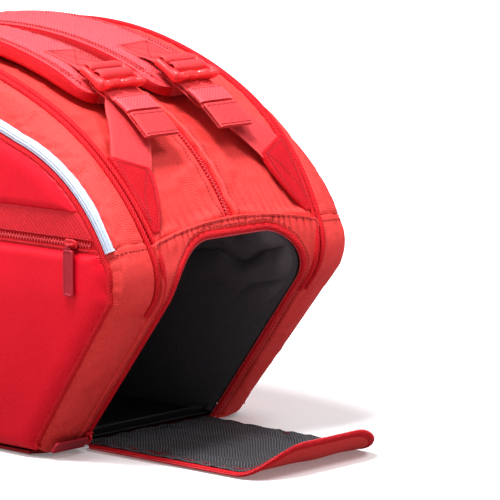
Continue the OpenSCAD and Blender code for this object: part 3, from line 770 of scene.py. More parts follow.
def white_band(tag, side):
    edge = float(s_at_z(SEAM_Z)) + 0.001
    s, t = column(-edge, edge, 420), row(0, 1, 15)
    height = 0.0006 + 0.0030 * np.sin(math.pi * t) ** 0.7 + 0.00020 * np.sin(2 * math.pi * 5 * t)
    height = height + 0.0002 * noise(s / 0.03, t * 2, 60 + side)
    height = height + edge_roll(np.minimum(t, 1 - t) * 0.012, 0.0012)
    sheet("white_band_" + tag, skin(s, 2.02 + 0.66 * t), height, 0.002, BAND)


def piping(tag, side):
    s, t = np.linspace(-S_FOOT - 0.004, S_FOOT + 0.004, 1700), row(0, 1, 6)
    skin_cord("piping_" + tag, s, 2.86, 0.0, 0.0027)
    sheet("piping_flange_" + tag, skin(s[::4, None], 2.64 + 0.2 * t), 0.0005 + 0.0010 * np.sin(math.pi * t),
          0.0015, BINDING, body="side_shell_" + tag)


# --- Side walls: rows at constant height inside the piping ---


def side_grid(z, cols):
    """Points of the side wall and the distance from its ends"""
    x = np.linspace(-1, 1, cols)[None] * wall_x(z)[:, None]
    zz = np.broadcast_to(z[:, None], (len(z), cols))
    return np.stack((x, side_y(zz), zz), -1), rim_distance(x, zz)


def crown(d, bevel, out):
    """Height of a moulded foam panel at distance d from its edge"""
    return out * np.sqrt(np.clip(1 - (1 - np.clip(d / bevel, 0, 1)) ** 2, 0, 1))


def side_panel(name, z0, z1, rows, bevel_low, bevel_high, seed):
    z = z0 + (z1 - z0) * np.sin(np.linspace(0, math.pi / 2, rows))
    grid, ends = side_grid(z, 180)
    low, high = (z - z0)[:, None], (z1 - z)[:, None]
    height = np.minimum(crown(ends, 0.016, PANEL_OUT), crown(low, bevel_low, PANEL_OUT))
    height = np.minimum(height, crown(high, bevel_high, PANEL_OUT))
    x = grid[..., 0]
    height = height + 0.0011 * noise(x / 0.09, z[:, None] / 0.05, seed) * smooth(ends / 0.02)
    height = height + 0.0022 * smooth(low / 0.05) * smooth(high / 0.04) * smooth(ends / 0.06)
    sheet(name, grid, height, 0.0015, MOULDED)


def side_panels(tag, side):
    side_panel("upper_panel_" + tag, STRIP_TOP, WALL_TOP, 60, 0.008, 0.016, 50 + side)
    side_panel("lower_panel_" + tag, 0.006, POCKET_Z - POCKET_HALF - 0.0006, 70, 0.012, 0.009, 54 + side)


def ribbed_strip(tag, side):
    grid, ends = side_grid(np.linspace(POCKET_Z + POCKET_HALF - 0.001, STRIP_TOP + 0.001, 30), 700)
    diagonal = (grid[..., 0] + grid[..., 2]) / 0.0042
    height = 0.0022 + 0.0006 * np.abs(np.sin(math.pi * diagonal)) ** 0.7
    sheet("ribbed_strip_" + tag, grid, np.minimum(height, crown(ends, 0.006, 0.003)), 0.0012, RIBBED)


def pocket_zip(tag, side):
    body = "side_shell_" + tag
    z = np.linspace(POCKET_Z - POCKET_HALF - 0.001, POCKET_Z + POCKET_HALF + 0.001, 17)
    grid, ends = side_grid(z, 260)
    height = 0.0012 + 0.0012 * smooth((np.abs(z - POCKET_Z)[:, None] - 0.0030) / 0.001)
    sheet("pocket_zip_" + tag, grid, np.minimum(height, crown(ends, 0.004, 0.003)), 0.0012, TAPE)
    x = np.linspace(-1, 1, 400) * (wall_x(np.array([POCKET_Z]))[0] - 0.006)
    line = np.stack((x, np.full(400, side_y(POCKET_Z) + 0.0018), np.full(400, POCKET_Z)), -1)
    ups = np.broadcast_to((0.0, 1.0, 0.0), line.shape)
    coil(line, ups, body, side)
    for dz in (-0.0046, 0.0046):
        stitch(line + np.array((0, 0.0008, dz)), ups, body, side)


def side_lining(tag, side):
    """Inside face of the racket compartment, seen when the side opens"""
    grid = side_grid(np.linspace(0.008, WALL_TOP, 70), 90)[0][:, ::-1] - np.array((0, 0.0022, 0))
    height = 0.0006 * noise(grid[..., 0] / 0.04, grid[..., 2] / 0.05, 70 + side)
    sheet("side_lining_" + tag, grid, height, 0.0012, LINING_PAINTED_SHADE, body="side_shell_" + tag)


# --- Ends of the bag ---


def on_end(y, z, h=0.0):
    """Point of the shoe end's surface at y across and z up, raised by h"""
    y, z = np.broadcast_arrays(y, z)
    a = turn_at(s_at_z(z))
    x, zz = outline(s_at_z(z))
    return np.stack((x + h * np.sin(a), y, zz + h * np.cos(a)), -1)


def end_n(z):
    a = turn_at(s_at_z(z))
    return np.stack((np.sin(a), 0 * a, np.cos(a)), -1)


def mouth_path(margin, count=240):
    """Outline of the shoe opening seen from the end, grown by margin: up, over and down"""
    w, h, r = MOUTH_W / 2 + margin, MOUTH_H + margin, MOUTH_R + margin
    lengths_of = (h - r, math.pi / 2 * r, 2 * (w - r), math.pi / 2 * r, h - r)
    t = np.linspace(0, sum(lengths_of), count)
    ends = np.cumsum(lengths_of)
    arc0 = np.clip((t - ends[0]) / lengths_of[1], 0, 1) * math.pi / 2
    arc1 = np.clip((t - ends[2]) / lengths_of[3], 0, 1) * math.pi / 2
    y = -(w - r) - r * np.cos(arc0) + np.clip(t - ends[1], 0, lengths_of[2]) + r * np.sin(arc1)
    z = np.minimum(t, h - r) + r * np.sin(arc0) - r * (1 - np.cos(arc1)) - np.clip(t - ends[3], 0, h - r)
    return y, np.maximum(z, 0.0055)


def field_point(y, z):
    """Where a ray from inside the opening, through its edge, meets the edge of the end panel"""
    w, r = MOUTH_W / 2 - MOUTH_R, MOUTH_H - MOUTH_R
    cy, cz = np.clip(y, -w, w), np.minimum(z, r)
    dy, dz = y - cy, z - cz
    size = np.hypot(dy, dz)
    dy, dz = dy / size, dz / size
    lo, hi = np.zeros_like(y), np.full_like(y, 0.14)
    for _ in range(30):
        mid = (lo + hi) / 2
        yy, zz = cy + dy * mid, cz + dz * mid
        arch = SEAM_Z + SEAM_RISE - yy ** 2 / (2 * SEAM_ARCH_R)
        inside = (np.abs(yy) < cord_y(zz) + 0.0010) & (zz < arch)
        lo, hi = np.where(inside, mid, lo), np.where(inside, hi, mid)
    return cy + dy * lo, cz + dz * lo


def shoe_end_panel():
    y0, z0 = (q[:, None] for q in mouth_path(0.0042, 321))
    y1, z1 = field_point(y0, z0)
    t = row(0, 1, 9)
    grid = draped(on_end(y0 * (1 - t) + y1 * t, z0 * (1 - t) + z1 * t), pressure=1.5, slack=0.01, cap=0.002)
    along, across = lengths(grid)
    to_seam = across[:, -1:] - across
    over = smooth((grid[..., 2] - 0.165) / 0.02)
    height = 0.0026 * puckers(grid[..., 1] + 0.5, to_seam, 0.0082, 0.03, 90) * over
    height += groove(to_seam - 0.0018, 0.0013, -0.0014)
    height += 0.0010 * noise(along / 0.02, across / 0.012, 92) * smooth(across / 0.004)
    height += edge_roll(to_seam, 0.0022) + edge_roll(across, 0.003) + 0.0016 * over * smooth(across / 0.003)
    sheet("shoe_end_panel", grid, height, GUSSET_T, SHELL)
    a = np.linspace(0.012, 0.988, 900)
    seam = 0.0036 / np.interp(a, np.linspace(0, 1, len(grid)), across[:, -1])
    for b in (1 - seam, seam):
        stitch_grid(grid, height, a, b)


def rear_end_panel():
    v = row(-0.985, 0.985, 61)
    s0 = s_end_at(v) - 0.0035
    grid = skin(s0 + (S_FOOT + 0.004 - s0) * column(0, 1, 61), v) * np.array((-1, 1, 1))
    grid = draped(grid[::-1], pressure=1.2, slack=0.008, cap=0.004)
    along, across = lengths(grid)
    down = along[-1:] - along
    sides = from_ends(across, 1)
    height = 0.0014 * puckers(across + 0.4, down, 0.0125, 0.03, 95)
    height += 0.0010 * noise(across / 0.03, down / 0.07, 96) * smooth(sides / 0.01)
    height += edge_roll(down, 0.0022) + edge_roll(sides, 0.002)
    sheet("rear_end_panel", grid, height, GUSSET_T, SHELL)
    stitch_grid(grid, height, 1 - 0.004 / float(along[-1].mean()), np.linspace(0.01, 0.99, 300))


def border(name, margin, frame_of, radius, squash):
    """Rolled twill border that follows an opening; frame_of gives points and outward directions"""
    cord(name, *frame_of(*mouth_path(margin, 900)), radius, 0.00018, squash)


def zip_teeth(margin, frame_of, body, length, radius):
    """Teeth of the open zip round the mouth"""
    at, along, up = spaced(*frame_of(*mouth_path(margin, 500)), 0.0019)
    trim.add("teeth", body, FAR, beads(at, unit(np.cross(up, along)), up, length, radius))


def shoe_opening_zip():
    border("shoe_opening_zip", 0.0030, lambda y, z: (on_end(y, z, -0.0008), end_n(z)), 0.0029, 0.75)
    zip_teeth(0.0, lambda y, z: (on_end(y, z, -0.0012), end_n(z)), "bag_body", 0.0021, 0.00062)


def shoe_tunnel():
    """Grey lining: it hangs in swags behind the opening and closes at the back"""
    back = float(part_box("shoe_tunnel")[0].x)
    y, z = (q[:, None] for q in mouth_path(0.0006, 97))
    z = np.maximum(z, TUNNEL_FLOOR)
    mouth = outline(s_at_z(z), 0.004)[0]
    x = mouth + (back - mouth) * row(0, 1, 49) ** 1.2
    grid = draped(np.stack(np.broadcast_arrays(x, y, z), -1), gravity=1.0, slack=0.05, cap=0.016)
    high = smooth((grid[..., 2] - 0.10) / 0.05)
    across, into = lengths(grid)
    swag = np.abs(np.sin(math.pi * (across / 0.034 + 0.5 * noise(into / 0.03, 2.5, 100)))) ** 0.7
    fall = 0.007 * swag * smooth(into / 0.02) + 0.002 * noise(across / 0.02, into / 0.03, 101)
    height = -(fall * high * smooth(into / 0.01))
    sheet("shoe_tunnel", grid, height, 0.0008, TUNNEL)
    tunnel_closure(back)


def opening_sill():
    """Edge of the lining under the opening, from the tunnel floor down to the base"""
    grid = on_end(column(-1, 1, 60) * (MOUTH_W / 2 + 0.001), row(0.0104, 0.0024, 12), -0.0098)
    sheet("opening_sill", grid, 0.0006 * np.sin(row(0, math.pi, 12)), 0.0012, LINING_PAINTED_SHADE)


def tunnel_closure(back):
    """Back wall and floor of the shoe tunnel"""
    t, u = column(-1, 1, 40), row(0, 1, 40)
    half = MOUTH_W / 2 + 0.0012
    z = TUNNEL_FLOOR + u * (MOUTH_H - TUNNEL_FLOOR)
    rise = np.clip(z - MOUTH_H + MOUTH_R, 0, None)
    width = half - MOUTH_R + np.sqrt(np.clip(MOUTH_R ** 2 - rise ** 2, 0, None))
    wall = np.stack(np.broadcast_arrays(back, t * width, z), -1)
    # painted shade: the back wall and floor take the darker lining copy
    sheet("shoe_tunnel_back", wall, 0.002 * noise(t * 4, u * 4, 105), 0.0008, LINING_PAINTED_SHADE)
    front = float(outline(s_at_z(np.array(TUNNEL_FLOOR)), 0.0102)[0])
    ground = np.stack(np.broadcast_arrays(back + (front - back) * u, t * half, TUNNEL_FLOOR - 0.0012), -1)
    sheet("shoe_tunnel_floor", ground[:, ::-1], 0.0006 * noise(t * 6, u * 9, 106), 0.0008, LINING_PAINTED_SHADE)


# --- Flap of the shoe compartment, built closed on the end profile and laid open ---

HINGE = np.array(joint("close_shoe_flap")["pos_m"])
FLAP_OPEN = math.pi - SLOPE_TURN
FLAP_INSET, FLAP_LOW = 0.0056, 0.0016


def laid_open(points):
    c, s = math.cos(FLAP_OPEN), math.sin(FLAP_OPEN)
    turn = np.array(((c, 0, -s), (0, 1, 0), (s, 0, c)))
    return (points - HINGE) @ turn + HINGE


def flap_half(z, margin):
    """Half width of the flap at height z when closed"""
    w, r = MOUTH_W / 2 + margin, MOUTH_R + margin
    return w - r + np.sqrt(np.clip(r * r - np.clip(z - (MOUTH_H - MOUTH_R), 0, r) ** 2, 0, None))


def flap_grid(depth):
    z = FLAP_LOW + (MOUTH_H - FLAP_INSET - FLAP_LOW) * np.sin(column(0, math.pi / 2, 61))
    return laid_open(on_end(row(-1, 1, 49) * flap_half(z, -FLAP_INSET), z, -depth))


def flap():
    grid = refine(flap_grid(0.0008)[:, ::-1], 2)
    along, across = lengths(grid)
    height = 0.0006 * noise(along / 0.03, across / 0.03, 110) * smooth(from_ends(across, 1) / 0.01)
    sheet("flap_shell", grid, height - 0.0006, 0.0018, SHELL)
    grid = draped(flap_grid(0.0056), pressure=1.0, slack=0.02, cap=0.0025)
    along, across = lengths(grid)
    edge = from_ends(across, 1)
    height = 0.0008 * noise(along / 0.018, across / 0.022, 111)
    height += 0.0006 * noise(along / 0.05, across / 0.008, 112)
    height = (0.0006 + height) * smooth(edge / 0.006) + edge_roll(edge, 0.001)
    sheet("flap_lining", grid, height, 0.0010, FLAP_LINING)
    border("flap_zip", -0.0042, flap_frame, 0.0031, 0.62)
    zip_teeth(-0.0018, flap_frame, "shoe_flap", 0.0030, 0.0006)
    for margin in (-0.0082, -0.0118):
        line, ups = flap_frame(*mouth_path(margin, 500))
        stitch(line - ups * 0.0036, -ups, "shoe_flap")


def flap_frame(y, z):
    """Points and directions of the closed flap's outside, laid open"""
    z = np.maximum(z, 0.0062)
    points, ups = on_end(y, z, -0.0023), end_n(z)
    return laid_open(points), laid_open(points + ups) - laid_open(points)


# --- Base and dividers ---


def base_panel():
    low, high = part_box("base_panel")
    y = column(low.y, high.y, 90)
    half = high.x - 0.007 * smooth((np.abs(y) - 0.104) / 0.018) ** 2
    x = row(-1, 1, 130) * half
    edge = np.minimum(half - np.abs(x), high.y - np.abs(y))
    height = 0.0009 - 0.0016 * smooth(edge / 0.012) * (1 - smooth(edge / 0.05)) - 0.0009 * (
        1 - smooth(edge / 0.004))
    grid = np.stack(np.broadcast_arrays(x, y, low.z + 0.001), -1)
    sheet("base_panel", grid, np.maximum(height, -0.0009), 0.0026, BASE)


def divider(tag, side):
    low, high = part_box("divider_" + tag)
    x_in, z_in = outline(np.linspace(S_FOOT - 0.004, 0.004, 200), 0.018)
    z = column(low.z, high.z - 0.0005, 60)
    half = np.interp(z, z_in, x_in)
    x = row(1, -1, 100) * half
    quilt = np.minimum(np.abs((x / 0.07 + 20) % 1 - 0.5) * 0.07, 1)
    height = 0.0010 + groove(quilt, 0.0015, 0.0009) + edge_roll(np.minimum(half - np.abs(x), 0.02), 0.002)
    grid = np.stack(np.broadcast_arrays(x, abs(low.y + high.y) / 2 + 0.0004, z), -1)
    sheet("divider_" + tag, grid, height, 0.0016, LINING_PAINTED_SHADE)


# --- Shoulder straps ---

STRAP_Y, PAD_HALF, PAD_T, PAD_ROWS = 0.0445, 0.0365, 0.015, (0.0050, 0.0085)
PAD_S0, PAD_S1, PAD_ROUND = -0.205, 0.193, 0.034
LOCK_S, LOCK_REACH = 0.190, 0.0246
WEB_W, WEB_T = 0.038, 0.002
LOCK_TURN = float(turn_at(LOCK_S))
LOCK_ORIGIN = top_pt(np.array(LOCK_S), np.array(STRAP_Y))
LOCK_AXES = np.array(((math.cos(LOCK_TURN), 0, -math.sin(LOCK_TURN)), (0, 1, 0),
                      (math.sin(LOCK_TURN), 0, math.cos(LOCK_TURN))))


def lock_pt(p):
    """Points given as x along from the ladder lock, y from the strap's middle and height"""
    flat = LOCK_ORIGIN + p @ LOCK_AXES
    bent = top_pt(LOCK_S + p[..., 0], STRAP_Y + p[..., 1], p[..., 2])
    share = smooth((np.abs(p[..., 0]) - LOCK_REACH) / 0.016)[..., None]
    return flat * (1 - share) + bent * share


def through(points, count):
    """Smooth line through a few points, given as x along, y across and height"""
    points = np.repeat(np.array(points, float)[:, None], 2, axis=1)
    fine = refine(points, 12)[:, 0]
    run = run_of(fine)
    t = np.linspace(0, run[-1], count)
    return np.stack([np.interp(t, run, fine[:, c]) for c in range(3)], -1)


def flat_path(points, count):
    """The same through points in the middle of the strap, given as x along and height"""
    return through([(x, 0, h) for x, h in points], count)


def flat_section(width, thick, cols=12):
    """Cross-section of a webbing: across and up, with soft edges"""
    a = np.linspace(-1, 1, cols)
    b = np.sqrt(np.clip(1 - np.abs(a) ** 14, 0, 1)) * 0.5 + 0.12 * (np.abs(a) < 1)
    ends = np.where(np.abs(a) == 1, 0.25, b)
    top = np.stack((a * width / 2, ends * thick), -1)
    return np.concatenate((top, top[::-1] * np.array((1, -1))))


def strap_rings(points, width=WEB_W, thick=WEB_T, lean=0.0):
    """Rings of a webbing along lock points (x, y, height); lean turns its width in plan"""
    lean = np.broadcast_to(lean, len(points))
    along = unit(np.gradient(points, axis=0))
    wide = np.stack((-np.sin(lean), np.cos(lean), 0 * lean), -1)
    up = unit(np.cross(along, wide))
    wide = unit(np.cross(up, along))
    section = flat_section(1, 1)
    return points[:, None] + wide[:, None] * section[None, :, :1] * width + up[:, None] * (
        section[None, :, 1:] * thick)


def webbing(name, points, tag, **more):
    rings = lock_pt(strap_rings(points, **more))
    piece(name + "_" + tag, tube(rings), WEBBING, lengths(rings), "strap_" + tag)


def pad_section(count=56):
    """Share of half width and of thickness round a pad, starting under its middle"""
    angle = np.linspace(0, 2 * math.pi, count, endpoint=False) - math.pi / 2
    c, s = np.cos(angle), np.sin(angle)
    return np.sign(c) * np.abs(c) ** 0.36, 0.5 + 0.5 * np.sign(s) * np.abs(s) ** 0.42


def pad_thick(s):
    """Thickness of the pad: it thins out towards the lock and at its sewn root"""
    return PAD_T * (1 - 0.3 * smooth((s - 0.160) / 0.03)) * (0.45 + 0.55 * smooth((s - PAD_S0) / 0.03))


def on_pad(line, lift=0.0008):
    """Points and outward directions on top of a pad, from arc length and distance from its middle"""
    s, y = line[:, 0], STRAP_Y + line[:, 1]
    return top_pt(s, y, pad_thick(s) + lift), skin_n(s, y / cord_y(outline(s)[1]))


def wrapped(q):
    """Closes rings on themselves by repeating their first column"""
    return np.concatenate((q, q[:, :1]), axis=1)


def refined_rings(q):
    """Refines rings, or values kept on them, with their last column running on into the first"""
    return refine(wrapped(q if q.ndim > 2 else q[..., None]), 3)[:, :-1].squeeze()


def strap_pad(tag, side):
    tip = PAD_S1 - PAD_ROUND
    s = np.concatenate((np.linspace(PAD_S0, tip, 84)[:-1],
                        tip + PAD_ROUND * np.sin(np.linspace(0, math.pi / 2, 16))))[:, None]
    half = PAD_HALF * (0.42 + 0.58 * np.sqrt(1 - np.clip((s - tip) / PAD_ROUND, 0, 1) ** 2) ** 0.8)
    a, b = pad_section()
    y, h = half * a, 0.0005 + pad_thick(s) * b
    held = np.where((b > 0.9) & (np.abs(y) < half - 0.0095), 0.0, 1.0)
    held[:12] = held[-6:] = 1
    grid = settle(top_pt(s, STRAP_Y + y, h), held, pressure=-6.0, slack=0.015, cap=0.0018)
    grid, y, h = refined_rings(grid), refined_rings(y), refined_rings(h)
    half, thick = (refined_rings(np.repeat(q, 2, axis=1))[:, :1] for q in (half, pad_thick(s)))
    d = half - np.abs(y)
    top = smooth((h / thick - 0.8) / 0.15)
    run = lengths(grid)[0]
    height = top * (groove(d - PAD_ROWS[0], 0.0009, 0.0009) + groove(d - PAD_ROWS[1], 0.0009, 0.0009))
    height += top * 0.0005 * noise(run / 0.012, y / 0.012, 120 + side) * smooth((d - 0.008) / 0.01)
    height += groove(d - 0.0012, 0.0012, -0.0008) * top
    outward = 1 if volume(*tube(grid)) > 0 else -1
    rings = grid + normals(wrapped(grid))[:, :-1] * outward * height[..., None]
    obj = piece("strap_pad_" + tag, tube(rings), (PAD, BINDING), (run, y + 0.9 * h * (1 - top)))
    n, m = rings.shape[:2]
    side_face = (d < 0.0016)[:-1] | (h < 0.4 * thick)[:-1] & (d < 0.004)[:-1]
    marks = np.zeros(len(obj.data.polygons), np.int32)
    marks[:(n - 1) * m] = side_face.ravel()
    obj.data.polygons.foreach_set("material_index", marks)
    obj.data.update()
    pad_stitches("strap_" + tag, side)


def pad_stitches(body, side):
    """Two rows of stitches up one side of the pad, round its tip and back"""
    s = np.linspace(PAD_S0 + 0.004, PAD_S1 - PAD_ROUND + 0.002, 400)
    turn = np.linspace(0, math.pi, 120)
    for inset in PAD_ROWS:
        w = PAD_HALF - inset
        ss = np.concatenate((s, PAD_S1 - PAD_ROUND + (PAD_ROUND - inset) * np.sin(turn), s[::-1]))
        yy = np.concatenate((np.full(400, -w), -w * np.cos(turn), np.full(400, w)))
        stitch(*on_pad(np.stack((ss, yy), -1), 0.0002), body, side)


def box_stitch(corners, frame_of, body, side):
    """Box with a cross in it, through points given in order round the box"""
    c = np.array(corners, float)
    for a, b in ((0, 1), (1, 2), (2, 3), (3, 0), (0, 2), (1, 3)):
        line = c[a] + (c[b] - c[a]) * column(0, 1, 40)
        stitch(*frame_of(line), body, side, pitch=0.0030, length=0.0022)


def lock_frame(line):
    return lock_pt(line), unit(lock_pt(line + np.array((0, 0, 0.001))) - lock_pt(line))


# Folded webbing, as x along from the ladder lock and height over the bag
PATCH_PATH = ((-0.065, 0.0168), (-0.050, 0.0174), (-0.034, 0.0178), (-0.0245, 0.0182), (-0.0218, 0.0198),
              (-0.0206, 0.0232), (-0.0195, 0.0258), (-0.0165, 0.0270), (-0.0136, 0.0262), (-0.0126, 0.0232),
              (-0.0126, 0.0200))
WRAP_PATH = ((0.012, 0.0140), (0.004, 0.0138), (-0.004, 0.0140), (-0.0072, 0.0152), (-0.0092, 0.0185),
             (-0.0092, 0.0240), (-0.0080, 0.0268), (-0.0052, 0.0281), (-0.0026, 0.0283), (-0.0004, 0.0268),
             (0.0008, 0.0232), (0.0020, 0.0198), (0.0052, 0.0180), (0.013, 0.0176), (0.025, 0.0168),
             (0.039, 0.0156), (0.053, 0.0146), (0.063, 0.0143))
FOLD_PATH = ((0.040, 0.0180), (0.048, 0.0176), (0.056, 0.0170), (0.0645, 0.0167))
KEEPER_PATH = ((0.0215, 0.0190), (0.031, 0.0184), (0.0375, 0.0178))
RUN_START, RUN_LEN, RUN_SHIFT = 0.017, 0.067, 0.042


def strap_patch(tag, side):
    body, root = "strap_" + tag, PAD_S0 + 0.012
    webbing("strap_patch", flat_path(PATCH_PATH, 90), tag)
    box_stitch([(-0.062, -0.0155, 0.0183), (-0.029, -0.0155, 0.0192),
                (-0.029, 0.0155, 0.0192), (-0.062, 0.0155, 0.0183)], lock_frame, body, side)
    box_stitch([(root, -0.014), (root + 0.028, -0.014), (root + 0.028, 0.014), (root, 0.014)],
               on_pad, body, side)


def bar(path, half_a, half_b, a_dir, sides=14, power=0.6):
    """Rounded bar along a path in lock or slider coordinates; a_dir is its wide direction"""
    path = np.asarray(path, float)
    along = unit(np.gradient(path, axis=0))
    b_dir = unit(np.cross(along, np.broadcast_to(a_dir, path.shape)))
    a_dir = unit(np.cross(b_dir, along))
    angle = np.linspace(0, 2 * math.pi, sides, endpoint=False)
    c, s = np.cos(angle), np.sin(angle)
    ca, sb = np.sign(c) * np.abs(c) ** power, np.sign(s) * np.abs(s) ** power
    ha, hb = (np.broadcast_to(q, len(path))[:, None, None] for q in (half_a, half_b))
    rings = path[:, None] + a_dir[:, None] * (ca[None, :, None] * ha) + b_dir[:, None] * (
        sb[None, :, None] * hb)
    close = np.array((0.55, 0.9))[:, None, None]
    reach = np.min(half_b) * (1 - close ** 2) * 0.8
    first = path[0] + (rings[0] - path[0]) * close - along[0] * reach
    last = path[-1] + (rings[-1] - path[-1]) * close + along[-1] * reach
    return np.concatenate((first, rings, last[::-1]))


def ladder_lock(tag, side):
    """Plastic frame with broad cheeks, a rear and a middle bar, and a deep raised front lip"""
    y = np.linspace(-1, 1, 61)

    def cross(x, z, ha, hb, wide=(1, 0, 0)):
        return bar(np.stack(np.broadcast_arrays(x, y * 0.0218, z), -1), ha, hb, wide)
    flare = smooth((np.abs(y) - 0.55) / 0.4)
    notch = -groove(y - 0.1, 0.16, 1)
    hump = -groove(np.abs(y) - 0.42, 0.2, 1)
    lip_x = 0.0074 + 0.0018 * flare - 0.0014 * notch
    lip_z = 0.0226 + 0.0012 * flare + 0.0009 * hump - 0.0010 * notch
    parts = [cross(-0.0165, 0.0230, 0.0021, 0.0021), cross(-0.0042, 0.0234, 0.0032, 0.0020),
             cross(lip_x, lip_z, 0.0060 + 0.0006 * flare - 0.0018 * notch, 0.0032, (0.55, 0, 0.83))]
    x = np.linspace(-0.0172, 0.0086, 31)
    grow = smooth((x + 0.006) / 0.012)
    for k in (-1, 1):
        path = np.stack((x, k * (0.0222 + 0.0006 * grow), 0.0230 + 0.0004 * grow), -1)
        parts.append(bar(path, 0.0028 + 0.0008 * grow, 0.0032 + 0.0016 * grow, (0, 1, 0)))
    piece("ladder_lock_" + tag, joined([tube(lock_pt(p)) for p in parts]), BUCKLE)


def adjuster_webbing(tag, side):
    """Lower webbing from the wing up to the lock, then its turn over the bar and its free tail"""
    points = [(RUN_START + RUN_LEN * q, RUN_SHIFT * q, 0.0140 - 0.0122 * q ** 0.7)
              for q in np.linspace(1, 0, 9)]
    points = through(points + [(0.010, 0, 0.0140)], 70)
    lean = math.atan2(RUN_SHIFT, RUN_LEN) * smooth((points[:, 0] - 0.014) / 0.03)
    rings = lock_pt(strap_rings(points, lean=lean))
    ends = lock_pt(np.array(((RUN_START + RUN_LEN, RUN_SHIFT, 0.005), (RUN_START, 0, 0.014))))
    piece("adjuster_webbing_" + tag, tube(rings), WEBBING, lengths(rings),
          bend=("bag_body", "strap_" + tag, *(ends * np.array((1, side, 1)))))
    webbing("webbing_tail", flat_path(WRAP_PATH, 150), tag)
    webbing("webbing_tail_fold", flat_path(FOLD_PATH, 20), tag, width=WEB_W + 0.0006, thick=0.0026)
    rings = lock_pt(strap_rings(flat_path(KEEPER_PATH, 14), WEB_W + 0.0014, 0.0030))
    piece("webbing_keeper_" + tag, tube(rings), PAD, lengths(rings), "strap_" + tag, "webbing")
    for x, h in ((0.0430, 0.0196), (0.0625, 0.0185), (0.0230, 0.0208)):
        line = np.stack(np.broadcast_arrays(x, np.linspace(-0.018, 0.018, 40), h), -1)
        stitch(*lock_frame(line), "strap_" + tag, side, pitch=0.0028, length=0.0020)


def wing(tag, side):
    """Doubled fabric that holds the end of the lower webbing against the cord line"""
    s0, s1 = float(s_at_x(0.238)), float(s_at_x(0.281))
    k, t = column(0, 1, 70), row(0, 1, 40)
    s = s0 + (s1 - s0) * k + 0.016 * (1 - k) * (1 - t)
    outer = cord_y(outline(s0 + (s1 - s0) * k)[1]) - 0.0045
    inner = 0.068 + (outer - 0.007 - 0.068) * k ** 2.2
    y = inner + (outer - inner) * t
    grid = top_pt(s, y)
    along, across = lengths(grid)
    edge = np.minimum(from_ends(across, 1), from_ends(along, 0))
    height = 0.0030 + edge_roll(edge, 0.0014) + groove(edge - 0.0035, 0.0007, 0.0005)
    height += 0.0008 * noise(s / 0.02, y / 0.012, 140 + side) * smooth(edge / 0.004)
    height += 0.0022 * smooth(1 - k / 0.6)
    sheet("wing_" + tag, grid, height, -0.0002, WING)
    a, end = np.linspace(0.06, 0.88, 90), np.linspace(0.08, 0.92, 60)
    for a, b in ((a, 0 * a + 0.12), (a, 0 * a + 0.9), (a, np.linspace(0.12, 0.9, 90)), (0 * end + 0.07, end)):
        stitch_grid(grid, height, a, b, "bag_body", side, pitch=0.0028, length=0.0020)


# --- Rear grab handle ---

HANDLE_LEG = 0.052


def rear_handle():
    low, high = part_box("rear_handle")
    patch_low, patch_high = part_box("rear_handle_anchors")
    y = np.linspace(-1, 1, 61)
    grip_z = low.z + 0.010 - 0.0015 * np.cos(y * math.pi / 2)
    grip = np.stack(np.broadcast_arrays((low.x + high.x) / 2 - 0.0008, y * 0.058, grip_z), -1)
    solids = [tube(bar(grip, 0.0092 - 0.0012 * np.abs(y) ** 6, 0.0042, (0, 0, 1), 20, 0.7))]
    patches = []
    patch_x = (patch_low.x + patch_high.x) / 2
    for leg in (-HANDLE_LEG, HANDLE_LEG):
        for made, x, z, thick in (
                (solids, high.x - 0.0022, np.linspace(high.z - 0.0015, low.z + 0.012, 14), 0.0011),
                (patches, patch_x, np.linspace(patch_low.z, patch_high.z, 16), 0.0009)):
            path = np.stack(np.broadcast_arrays(x, leg, z), -1)
            made.append(tube(bar(path, 0.0098, thick, (0, 1, 0), 16, 0.35)))
        x, z0, z1 = patch_low.x - 0.0002, patch_low.z + 0.003, patch_high.z - 0.003
        corners = [(x, leg - 0.007, z0), (x, leg + 0.007, z0), (x, leg + 0.007, z1), (x, leg - 0.007, z1)]
        box_stitch(corners, lambda p: (p, np.broadcast_to((-1.0, 0, 0), p.shape)), "bag_body", FAR)
    piece("rear_handle", joined(solids), WING, slot="webbing")
    piece("rear_handle_anchors", joined(patches), WING, slot="webbing")


# --- Zip sliders and pullers, drawn with the zip along x and the outside at +z ---

PIN_H, PULL_L, PULL_W = 0.005, 0.038, 0.011


def slider_solids(turn):
    """Slider body and the arched bridge that holds the puller; turn swings the bridge"""
    x = np.linspace(-0.0058, 0.0058, 21)
    width = 0.0041 - 0.0012 * smooth((x - 0.001) / 0.005)
    path = np.stack((x, 0 * x, np.full(21, 0.0012)), -1)
    t = np.linspace(0, math.pi, 25)
    arch = np.stack((0.0044 * np.cos(t), 0 * t, 0.0016 + 0.0042 * np.sin(t) ** 0.5), -1)
    c, s = math.cos(turn), math.sin(turn)
    arch = arch @ np.array(((c, s, 0), (-s, c, 0), (0, 0, 1)))
    keel = path[3:-3] - np.array((0, 0, 0.0032))
    return [tube(bar(path, width, 0.0012, (0, 1, 0), 16, 0.5)),
            tube(bar(keel, 0.0024, 0.0016, (0, 1, 0), 12, 0.6)),
            tube(bar(arch, 0.0012, 0.0007, (s, -c, 0.0), 10, 0.8))]


